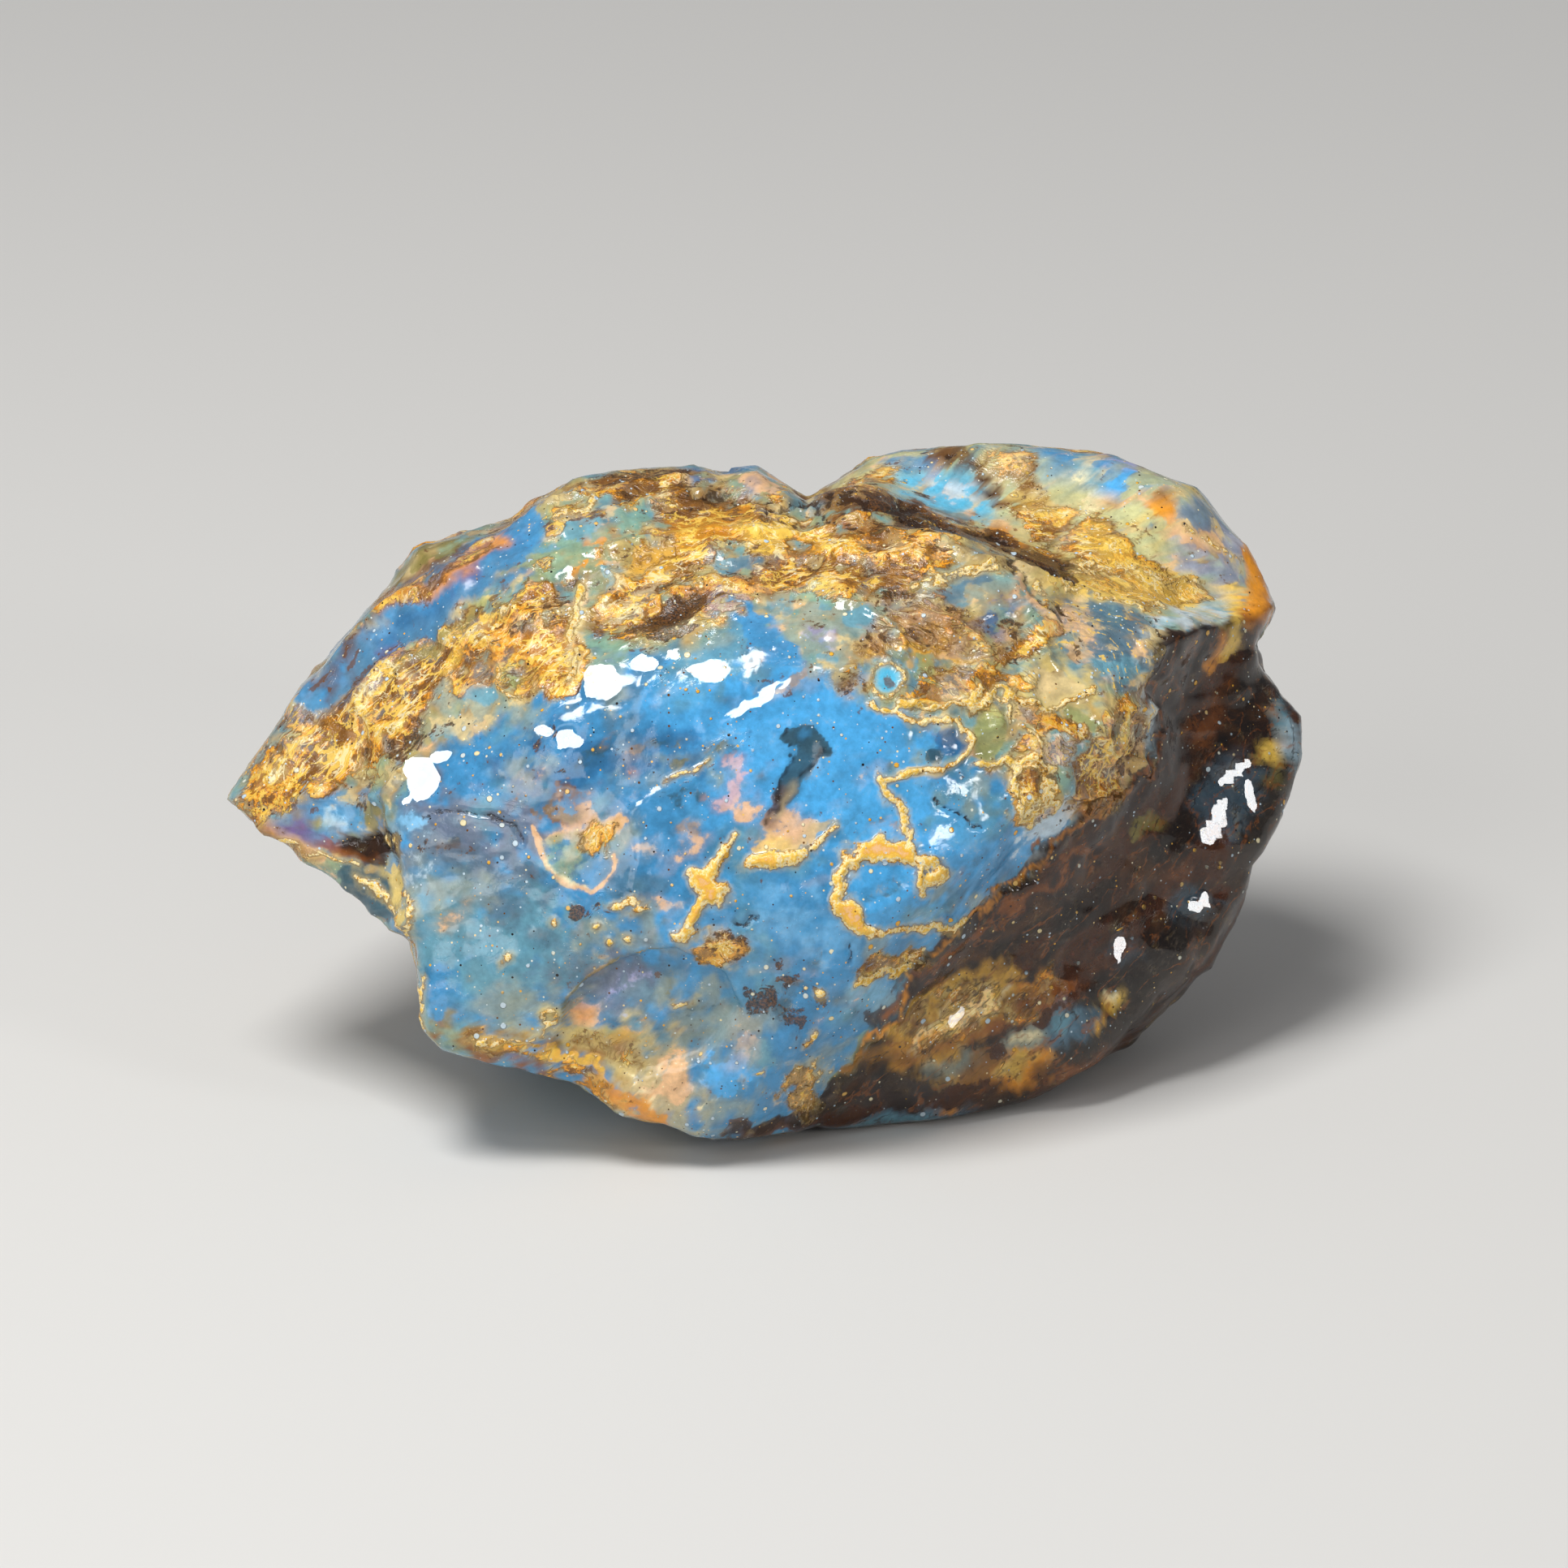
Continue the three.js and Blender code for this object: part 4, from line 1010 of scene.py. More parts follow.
# Where the shoulder's gold lies thick, has come off or has cracked.
CRUST_COATS = (
    *several(Spot,
        (SMOOTH, -11.3, 5.2, 1.1, 0.65, 0, 1.0, 0.15, 0.2),
        (SMOOTH, -12.9, 4.2, 0.8, 0.5, 0, 1.0, 0.15, 0.3),
    ),
    *every(Line, GILD,
        (3.0, ((-23.2, -0.2), (-20.0, 2.2), (-16.6, 4.4)), 0.9, 1.0, 1.0),
        (1.8, ((-17.9, 5.0), (-14.8, 6.4), (-12.0, 8.4), (-10.2, 9.2)), 0.95, 0.7, 1.0),
        (1.5, ((-7.0, 7.8), (-5.1, 9.6), (-3.0, 11.4)), 1.0, 0.6, 1.0),
        (0.8, ((-10.6, 11.6), (-9.0, 12.8), (-7.8, 13.6)), 0.9, 0.4, 1.0),
        (0.8, ((13.2, 7.4), (12.2, 6.6), (10.9, 6.0)), 0.95, 0.4),
        (0.7, ((-18.1, 8.6), (-16.3, 8.9), (-14.6, 10.1), (-12.7, 11.5)), 0.9, 0.3),
        (0.6, ((-23.8, 1.2), (-22.0, 4.0), (-19.6, 7.0)), 0.7, 0.4, 1.0),
    ),
    *every(Spot, GILD,
        (-9.8, 6.2, 1.8, 1.9, 30, 1.0, 0.6), (-12.4, 5.2, 1.9, 0.9, 20, 0.8, 0.5),
        (-2.4, 12.3, 3.0, 1.1, 6, 1.0, 0.5), (0.4, 11.6, 1.6, 0.9, 0, 1.0, 0.4),
        (2.8, 11.6, 1.0, 0.8, 0, 1.0, 0.4), (-5.6, 13.8, 2.2, 0.7, -6, 0.7, 0.5),
        (-0.6, 9.4, 3.4, 0.8, 8, 0.75, 0.5), (3.0, 9.6, 2.4, 1.0, -10, 0.75, 0.5),
        (6.0, 10.8, 2.6, 1.4, -12, 0.7, 0.5), (8.0, 7.4, 2.2, 1.2, 0, 0.5, 0.6),
        (8.4, 4.8, 2.8, 0.8, 0, 0.7, 0.4), (13.6, 3.0, 2.2, 0.6, -30, 0.75, 0.4),
        (15.2, 0.9, 1.2, 1.8, 10, 0.9, 0.5), (12.2, 1.2, 1.5, 1.0, 20, 0.8, 0.5),
        (12.0, -0.8, 0.9, 1.0, 0, 0.85, 0.4), (16.6, 3.4, 0.8, 1.6, -10, 0.7, 0.4),
    ),
    *every(Line, VEIN,
        (0.22, ((-9.6, 12.5), (-8.8, 13.0), (-8.0, 13.6))), (0.14, ((6.9, 9.3), (8.7, 9.9), (10.5, 10.5))),
        (0.12, ((7.4, 9.3), (9.0, 9.8), (10.4, 10.2), (10.6, 10.5))),
        (0.26, ((-8.5, 9.3), (-8.7, 8.2), (-9.1, 7.0))), (0.2, ((-9.0, 5.0), (-8.6, 5.6), (-8.8, 6.4))),
        (0.12, ((-12.3, 5.6), (-12.4, 4.9), (-11.9, 4.4), (-11.2, 4.3))),
        (0.12, ((12.6, 9.6), (13.1, 8.9), (13.3, 8.2))),
    ),
    Spot(VEIN, -12.1, 8.2, 0.35, 0.2, 10),
    *every(Spot, SOIL,
        (-5.0, 14.0, 2.6, 0.7, -8, 0.7, 0.4), (-4.2, 7.5, 1.3, 0.7, 20),
        (3.8, 11.2, 0.6, 0.45, 0, 1.0, 0.2), (6.4, 10.6, 2.6, 1.5, -12, 0.75, 0.5),
        (2.4, 8.7, 2.6, 1.0, 0, 0.45, 0.5), (-13.6, 4.0, 2.6, 1.0, 15, 0.5, 0.5),
        (-18.2, 2.6, 3.0, 1.2, 35, 0.6, 0.6), (-11.6, 7.4, 2.2, 0.9, 35, 0.6, 0.5),
        (16.4, 2.6, 0.6, 1.8, -10, 0.7, 0.4), (12.4, 0.6, 0.9, 1.0, 0, 0.7, 0.4),
    ),
    *several(Line,
        (SOIL, 1.2, ((-6.6, 7.2), (-4.4, 8.2), (-1.6, 9.2), (2.6, 10.2)), 0.75, 0.4, 1.0),
        (SMOOTH, 2.0, ((-21.0, 5.0), (-18.6, 6.6), (-15.6, 8.4), (-12.8, 10.2), (-10.4, 11.9)), 1.0, 0.3),
        (SMOOTH, 1.6, ((-12.6, 8.6), (-11.0, 9.9), (-9.0, 11.2), (-7.6, 13.0)), 0.95, 0.3),
    ),
    *every(Spot, SMOOTH,
        (-15.4, 10.9, 2.6, 1.0, 30, 1.0), (-7.6, 7.1, 1.0, 1.1, 10, 1.0),
        (-13.8, 3.9, 2.2, 1.0, 12, 0.8, 0.5), (2.0, 7.6, 2.6, 1.7, -10, 0.85, 0.5),
        (9.6, 9.2, 2.2, 1.0, -15, 0.85, 0.5), (6.2, 5.2, 1.6, 0.9, 0, 0.8, 0.4),
        (14.2, 4.4, 1.8, 1.1, -15, 0.85, 0.4), (16.4, 6.2, 1.5, 1.9, -30, 0.8, 0.4),
        (0.2, 14.4, 1.4, 0.6, -8, 0.9), (-2.6, 12.4, 1.9, 0.7, 8, 0.6),
    ),
    *every(Line, CRACK,
        (0.2, ((1.4, 13.9), (2.4, 12.9), (3.2, 12.4))),
        (0.16, ((11.0, 10.5), (12.2, 9.6), (13.2, 8.6), (13.9, 8.0)), 0.9, 0.3, 0.8),
        (0.16, ((0.2, 12.9), (1.6, 13.0), (3.0, 13.3))), (0.12, ((-3.8, 14.1), (-1.8, 13.6), (0.4, 13.4))),
    ),
)
# The bluish left tip with its dark pocket.
TIP_MARKS = (
    *several(Stain,
        (MIST, -23.4, 1.4, 1.6, 1.4, 50, 0.9), (MIST, -21.4, 0.4, 2.0, 1.0, 20, 0.7),
        (HEATHER, -21.6, -1.7, 2.2, 1.0, -20, 0.9), (BLUE, -19.6, -1.2, 1.7, 1.0, -20, 0.9),
    ),
    *several(Line,
        (ORANGE, 0.5, ((-24.2, -0.4), (-23.4, -1.5), (-22.6, -2.4), (-21.2, -2.9)), 0.6, 0.3),
        (UMBER, 0.3, ((-23.9, -1.2), (-22.4, -2.7), (-20.6, -3.3)), 0.7),
    ),
    *several(Spot,
        (VIOLET, -21.5, -2.0, 1.1, 0.5, -20, 0.6), (SKY, -20.0, -1.4, 1.0, 0.5, -20, 0.5),
        (OLIVE, -18.2, -1.3, 0.7, 0.4, 0, 0.8), (BARK, -18.2, -2.6, 1.5, 0.7, -10, 0.98, 0.2),
        (RUST, -19.6, -2.7, 1.0, 0.3, -20, 0.6, 0.2), (SLATE, -18.4, -4.9, 1.5, 1.2, -40, 0.85, 0.4),
        (WHEAT, -17.2, -4.6, 0.5, 1.1, 30, 0.9, 0.2), (SMOOTH, -21.2, -1.4, 2.6, 1.3, -20, 1.0, 0.4),
        (SMOOTH, -18.4, -3.6, 2.0, 2.2, -30, 1.0, 0.4),
    ),
    *several(Line,
        (SMOOTH, 1.2, ((-24.6, -0.2), (-23.4, 1.6), (-22.4, 3.2)), 0.9, 0.4),
        (VEIN, 0.2, ((-22.6, -2.4), (-21.1, -2.9), (-19.6, -3.3), (-18.8, -3.5))),
        (VEIN, 0.2, ((-18.7, -4.1), (-17.9, -4.8), (-17.0, -5.7), (-16.5, -6.3))),
        (VEIN, 0.18, ((-17.3, -2.4), (-16.6, -4.1), (-16.3, -5.2), (-16.3, -6.5), (-16.5, -7.1))),
        (CRACK, 0.2, ((-19.4, -2.3), (-18.2, -2.2), (-17.4, -2.8), (-16.9, -3.8)), 0.9, 0.3, 0.6),
    ),
    Spot(GILD, -20.2, 0.8, 1.6, 1.0, 20, 0.8, 0.4),
)
# The pale rounded lobe at the back, and the crevice in front of it, brown and dark, partly painted shade in
# the crease.
LOBE_MARKS = (
    *several(Stain,
        (LIME, 5.4, 14.6, 2.2, 1.0, 16, 1.0), (WHEAT, 4.8, 14.2, 1.6, 0.6, 16),
        (CYAN, 8.6, 14.0, 2.6, 1.1, -12, 0.95, 0.5, 0.8), (LIME, 13.4, 14.0, 2.2, 1.4),
        (BLUE, 14.6, 15.4, 2.6, 0.9, -6, 0.95, 0.5, 0.8), (LIME, 17.2, 12.2, 2.6, 1.6, -15, 0.95),
        (WHEAT, 16.0, 10.4, 3.6, 1.2, -18, 0.9), (LILAC, 21.0, 11.4, 1.7, 2.0, 20, 0.6),
        (STEEL, 20.6, 12.6, 1.0, 1.0, 0, 0.8, 0.5, 0.8), (HEATHER, 21.6, 10.4, 1.0, 1.2, 20, 0.6),
        (ICE, 19.9, 7.9, 1.2, 0.8),
    ),
    *several(Spot,
        # The ice spot on the cyan dome is a painted highlight.
        (ICE, 8.9, 14.0, 0.8, 0.28, -10, 0.9), (BLUE, 7.2, 15.3, 0.9, 0.3, 0, 0.8),
        (TEAL, 10.9, 13.6, 0.8, 0.5, -30, 0.7), (AZURE, 16.5, 14.5, 0.6, 0.9, -10, 0.95, 0.2),
        (LILAC, 17.4, 15.2, 1.3, 0.25, -20, 0.7),
    ),
    *several(Line,
        # The umber and bark lines along the creases are painted shade in them, over the creases' own brown.
        (UMBER, 1.3, ((1.9, 13.9), (4.0, 13.4), (6.1, 13.2), (7.9, 12.7), (9.4, 11.9), (11.3, 11.3),
            (13.1, 10.6), (14.4, 9.9)), 0.9, 0.4, 0.8),
        (BARK, 0.4, ((5.2, 13.1), (7.6, 12.5), (9.4, 11.7), (11.4, 11.0), (13.2, 10.2)), 0.85, 0.25, 0.8),
        (ORANGE, 0.35, ((7.6, 13.0), (9.4, 12.3), (11.2, 11.8), (12.2, 11.4)), 0.85, 0.2, 0.8),
        (BARK, 0.5, ((12.6, 12.2), (13.2, 11.6), (13.4, 11.0)), 0.85, 0.25, 0.8),
        (UMBER, 0.9, ((8.1, 15.8), (9.7, 15.4), (10.8, 14.1), (11.5, 13.3)), 0.95, 0.3, 0.8),
        (BARK, 0.35, ((8.9, 15.6), (10.0, 15.0), (11.0, 13.8)), 0.8, 0.2, 0.8),
    ),
    *several(Spot,
        (UMBER, 12.5, 14.0, 0.4, 0.9, 15), (CREAM, 11.4, 15.2, 0.9, 0.6, -25),
        (CREAM, 15.0, 13.9, 0.5, 0.8, 0, 0.7), (HONEY, 13.0, 13.2, 1.1, 0.5, -30, 0.8),
        (HONEY, 15.9, 11.4, 1.6, 0.9, -18, 0.85, 0.4), (HONEY, 18.6, 9.6, 1.6, 0.7, -10),
        (UMBER, 18.6, 13.3, 0.25, 0.5, 10, 0.9), (ORANGE, 18.6, 12.8, 0.55, 0.8, 10, 0.9),
        (PEACH, 20.4, 11.4, 0.8, 0.4, -30, 0.8), (PEACH, 19.6, 12.0, 0.5, 0.3, -30, 0.8),
        (WHEAT, 20.0, 14.0, 0.7, 0.4, -20, 0.7),
    ),
    *several(Line,
        (PEACH, 0.3, ((21.8, 12.9), (22.6, 11.6), (23.0, 10.4)), 0.7),
        (ORANGE, 1.3, ((22.9, 11.0), (23.5, 9.6), (23.6, 8.6), (22.8, 8.2)), 1.0, 0.3),
        (RUST, 0.5, ((23.6, 10.2), (24.0, 8.8), (23.2, 7.6), (22.2, 8.4)), 0.8, 0.3),
        (HONEY, 0.5, ((22.0, 9.4), (21.9, 8.0), (21.7, 7.0), (21.2, 6.2)), 1.0),
        (HONEY, 0.9, ((13.3, 9.9), (15.9, 9.2), (17.8, 9.2), (19.8, 8.8)), 0.8, 0.3),
        (ORANGE, 0.5, ((21.2, 6.9), (20.9, 6.2), (20.4, 5.6)), 0.95),
    ),
    *every(Spot, GILD,
        (16.0, 11.0, 2.4, 1.3, -18, 0.95, 0.5), (18.4, 9.4, 2.0, 0.8, -10, 0.95, 0.4),
        (13.0, 12.6, 1.2, 0.9, -30, 0.8, 0.4), (5.0, 14.5, 2.0, 0.5, 14, 0.7, 0.4),
        (11.8, 15.0, 1.2, 0.6, -30, 0.7, 0.4),
    ),
    *every(Spot, SMOOTH,
        (8.8, 14.1, 2.5, 0.8, -14, 1.0), (15.6, 15.1, 3.2, 1.1, -10, 1.0, 0.4),
        (18.4, 12.2, 2.0, 1.5, -30, 0.9, 0.4), (21.2, 11.4, 1.8, 2.4, 20, 1.0, 0.4),
        (22.6, 8.4, 1.6, 1.6, 0, 1.0, 0.4), (20.4, 7.2, 1.6, 1.4, 0, 1.0, 0.4),
        (4.6, 15.0, 1.5, 0.5, 16, 0.8),
    ),
    *every(Line, VEIN,
        (0.16, ((13.3, 9.6), (15.9, 8.8), (17.7, 8.6), (19.5, 8.4)), 0.9, 0.2, 0.9),
        (0.16, ((14.2, 10.4), (16.4, 10.0), (18.6, 10.0), (20.4, 9.4)), 0.9, 0.2, 0.9),
        (0.2, ((11.8, 13.8), (12.4, 13.0), (13.5, 12.7))),
        (0.14, ((19.6, 12.2), (20.8, 11.2), (22.2, 10.2)), 0.9, 0.2, 0.9),
    ),
    *several(Line,
        (CRACK, 0.4, ((1.9, 13.9), (4.8, 13.2), (6.0, 13.1), (7.7, 12.5), (9.2, 11.8), (10.9, 11.2),
            (12.7, 10.5), (14.2, 9.8)), 0.9, 0.3, 1.0),
        (CRACK, 0.2, ((8.6, 15.7), (9.9, 15.1), (11.0, 13.7)), 0.9, 0.3, 0.8),
        (CRACK, 0.16, ((17.0, 8.2), (17.9, 7.9), (18.4, 7.4), (18.8, 6.8)), 0.9, 0.3, 0.8),
        (SOIL, 1.0, ((5.0, 13.2), (8.6, 12.2), (11.4, 11.3), (14.0, 10.1)), 0.9, 0.3),
    ),
)
# The glassy flank: its ridge, dull films, painted grey-blue reflections round its glints, and the golden
# patch low on it, painted paler than its light with cream streaks of painted highlight.
FLANK_MARKS = (
    *several(Line,
        (PLUM, 1.4, ((5.2, -10.8), (8.2, -8.2), (11.4, -5.8), (14.4, -3.6), (16.9, -1.2), (18.6, 1.8),
            (19.0, 4.6)), 0.9, 0.6, 1.0),
        (SMOKE, 2.2, ((23.8, 0.6), (22.6, -3.4), (21.2, -6.6), (18.9, -9.3), (16.4, -11.4),
            (14.0, -12.8)), 0.8, 0.7, 1.2),
        (RUST, 0.3, ((5.4, -10.4), (7.2, -8.6), (9.2, -7.2), (11.9, -5.0), (14.6, -2.9)), 0.85, 0.25, 1.0),
        (UMBER, 0.3, ((8.2, -8.6), (11.2, -6.6), (14.0, -4.6), (16.8, -1.8)), 0.6, 0.3, 1.2),
        (BARK, 0.5, RIDGE, 0.9, 0.2, 0.7), (ORANGE, 0.16, RIDGE[5:16], 0.85, 0.1, 0.9),
        (RUST, 0.16, RIDGE[2:9], 0.8, 0.1, 1.3),
    ),
    *several(Spot,
        (RUST, 20.4, 3.0, 0.5, 1.4, -20, 0.35), (OLIVE, 17.6, -1.9, 0.85, 0.3, 40, 0.95, 0.12),
        # The steel spots on this line and the first one on the next are painted reflection: grey-blue halos
        # round the wet glints.
        (STEEL, 21.5, -0.6, 1.3, 2.1, -20, 0.45, 0.4), (STEEL, 20.1, -5.4, 1.0, 0.8, 20, 0.4),
        (STEEL, 16.7, -7.6, 0.7, 0.8, 20, 0.25), (TEAL, 24.4, 2.7, 0.6, 1.4, 0, 0.9),
        (ICE, 24.7, 2.3, 0.25, 0.8, 0, 0.6), (PEACH, 24.0, 2.8, 0.2, 0.9, 0, 0.8),
        (HONEY, 23.4, 1.6, 0.4, 0.6, 0, 0.9, 0.2), (OLIVE, 23.6, 0.4, 0.5, 0.5, 0, 0.7),
        # The honey and wheat over the golden patch are partly painted light: they make it paler than the
        # light on it gives, as if it glowed.
        (GOLD, 8.8, -10.5, 3.6, 1.4, 38, 0.95, 0.4), (HONEY, 8.9, -10.3, 2.8, 1.0, 38, 0.85, 0.3, 1.4),
        (WHEAT, 8.8, -10.2, 2.2, 0.6, 40, 0.85, 0.3, 1.4), (ORANGE, 6.9, -11.9, 1.2, 0.5, 38, 0.8),
    ),
    # Painted highlight: cream streaks along the golden patch stand in for its striated glint.
    *several(Line,
        (CREAM, 0.7, ((8.2, -10.9), (9.4, -10.0), (10.4, -9.3)), 1.0, 0.25, 1.2),
        (CREAM, 0.24, ((6.6, -12.0), (7.3, -11.0), (8.2, -10.2)), 1.0, 0.12, 0.8),
        (CREAM, 0.22, ((9.4, -10.8), (10.6, -9.9), (11.4, -9.0)), 1.0, 0.12, 0.8),
    ),
    *several(Spot,
        (GILD, 9.0, -10.3, 2.9, 1.0, 38, 0.55, 0.4), (GILD, 12.6, -9.6, 1.6, 0.5, 30, 0.5),
        (GILD, 11.4, -13.0, 1.4, 0.6, 15, 0.4),
    ),
    *several(Line,
        (HONEY, 0.2, ((6.6, -12.1), (7.9, -11.7), (9.1, -11.1)), 0.9, 0.15, 0.8),
        (UMBER, 0.34, ((6.8, -11.0), (8.6, -9.5), (10.4, -8.5)), 0.9, 0.2, 1.2),
        (UMBER, 0.3, ((8.0, -11.3), (9.7, -10.6), (11.6, -9.6)), 0.85, 0.2, 1.2),
        (RUST, 0.6, ((6.4, -12.4), (9.0, -11.5), (12.2, -10.2), (13.4, -9.5)), 0.9, 0.3),
    ),
    *several(Spot,
        (RUST, 13.6, -9.5, 1.3, 0.5, 20, 0.8), (ORANGE, 12.6, -9.2, 0.6, 0.3, 30, 0.8, 0.2),
        (STEEL, 13.8, -11.0, 1.5, 0.8, 25, 0.95), (TEAL, 13.6, -10.9, 0.9, 0.4, 25, 0.8, 0.2),
        (HONEY, 16.2, -9.9, 0.7, 0.4, 10, 0.95, 0.2), (CREAM, 16.0, -9.7, 0.3, 0.2, 10, 0.9, 0.15),
    ),
    Line(GOLD, 0.2, ((15.9, -9.9), (15.5, -10.6), (15.2, -11.2)), 0.9, 0.15),
    *several(Spot,
        (MIST, 12.0, -11.7, 0.9, 0.7, 10), (CREAM, 12.0, -11.5, 0.35, 0.25, 0, 0.9, 0.15),
        (MIST, 8.4, -12.8, 1.4, 0.6, 12, 0.7), (OCHRE, 10.2, -12.8, 1.2, 0.6, 10, 0.9),
        (ORANGE, 11.8, -13.0, 1.4, 0.8, 15, 1.0), (HONEY, 11.6, -12.9, 0.8, 0.45, 15, 1.0, 0.2),
        (RUST, 14.2, -13.3, 1.4, 0.4, 35, 0.7),
    ),
    Line(GOLD, 0.2, ((6.9, -13.3), (7.8, -13.6), (8.9, -13.2)), 0.9, 0.15),
    *several(Spot,
        (PLUM, 6.2, -13.9, 2.2, 0.8, 0, 0.8, 0.4), (STEEL, 6.5, -15.5, 2.8, 0.6, 6, 0.95),
        (TEAL, 6.0, -15.6, 1.6, 0.3, 6, 0.9, 0.2), (ORANGE, 8.4, -14.9, 0.4, 0.25, 0, 0.9, 0.15),
    ),
    Line(OCHRE, 0.5, ((3.6, -12.8), (5.0, -12.4), (6.6, -12.3)), 0.9, 0.3),
)
# Every mark, in the order they lie.
MARKS = (
    *FACE_STAINS, *CRUST_STAINS, *FACE_TINTS, *FACE_COATS, *CRUST_TINTS, *CRUST_COATS, *TIP_MARKS,
    *LOBE_MARKS, *FLANK_MARKS,
)


def edge_depth(x: Array, y: Array, edge: tuple[Point, ...]) -> Array:
    """Distance inside a closed outline, below zero outside it.

    Args:
        x: places along the piece, in mm.
        y: places up the face, in mm.
        edge: the outline's corners in order.

    Returns:
        Distances in mm: to the nearest side, with the sign of the count of sides crossed on the way out.
    """
    away = -Line(VEIN, 0.0, (*edge, edge[0])).depth(x, y)
    inside = np.zeros(len(x), bool)
    for (x0, y0), (x1, y1) in zip(edge, edge[1:] + edge[:1]):
        spans = (y0 > y) != (y1 > y)
        inside ^= spans & (x < x0 + (y - y0) * (x1 - x0) / (y1 - y0 + 1e-12))
    return np.where(inside, away, -away)


@dataclass
class Zones:
    """Shares of milky resin, clear resin, crust and lobe over the skin."""

    milk: Array
    clear: Array
    lobe: Array
    front: Array

    @classmethod
    def over(cls, points: Array, normals: Array) -> "Zones":
        """Works the shares out: outlines in front, and wide clouds where no outline reaches.

        Args:
            points: skin points in mm.
            normals: their outward normals.

        Returns:
            The zones.
        """
        front = softstep(0.02, 0.22, normals[:, 2] + 0.04 * fractal(points, 3.0, 301, 2))
        x = points[:, 0] + 0.45 * fractal(points, 2.4, 311)
        y = points[:, 1] + 0.45 * fractal(points, 2.4, 321)
        milk = softstep(-0.35, 0.45, edge_depth(x, y, MILK_EDGE) + 0.35 * fractal(points, 0.9, 331))
        clear = softstep(-0.15, 0.2, edge_depth(x, y, CLEAR_EDGE))
        lobe = softstep(-0.5, 0.5, edge_depth(x, y, LOBE_EDGE))
        wide = fractal(points, 9.0, 341, 3)
        back_milk = softstep(-0.25, 0.15, wide)
        brown = (points[:, 0] - points[:, 1] - 16.0) / 6.0 + fractal(points, 7.0, 351, 3)
        back_clear = softstep(-0.2, 0.2, brown)
        return cls(
            blend(back_milk * (1 - back_clear), milk, front),
            blend(back_clear, clear, front),
            lobe * front,
            front,
        )


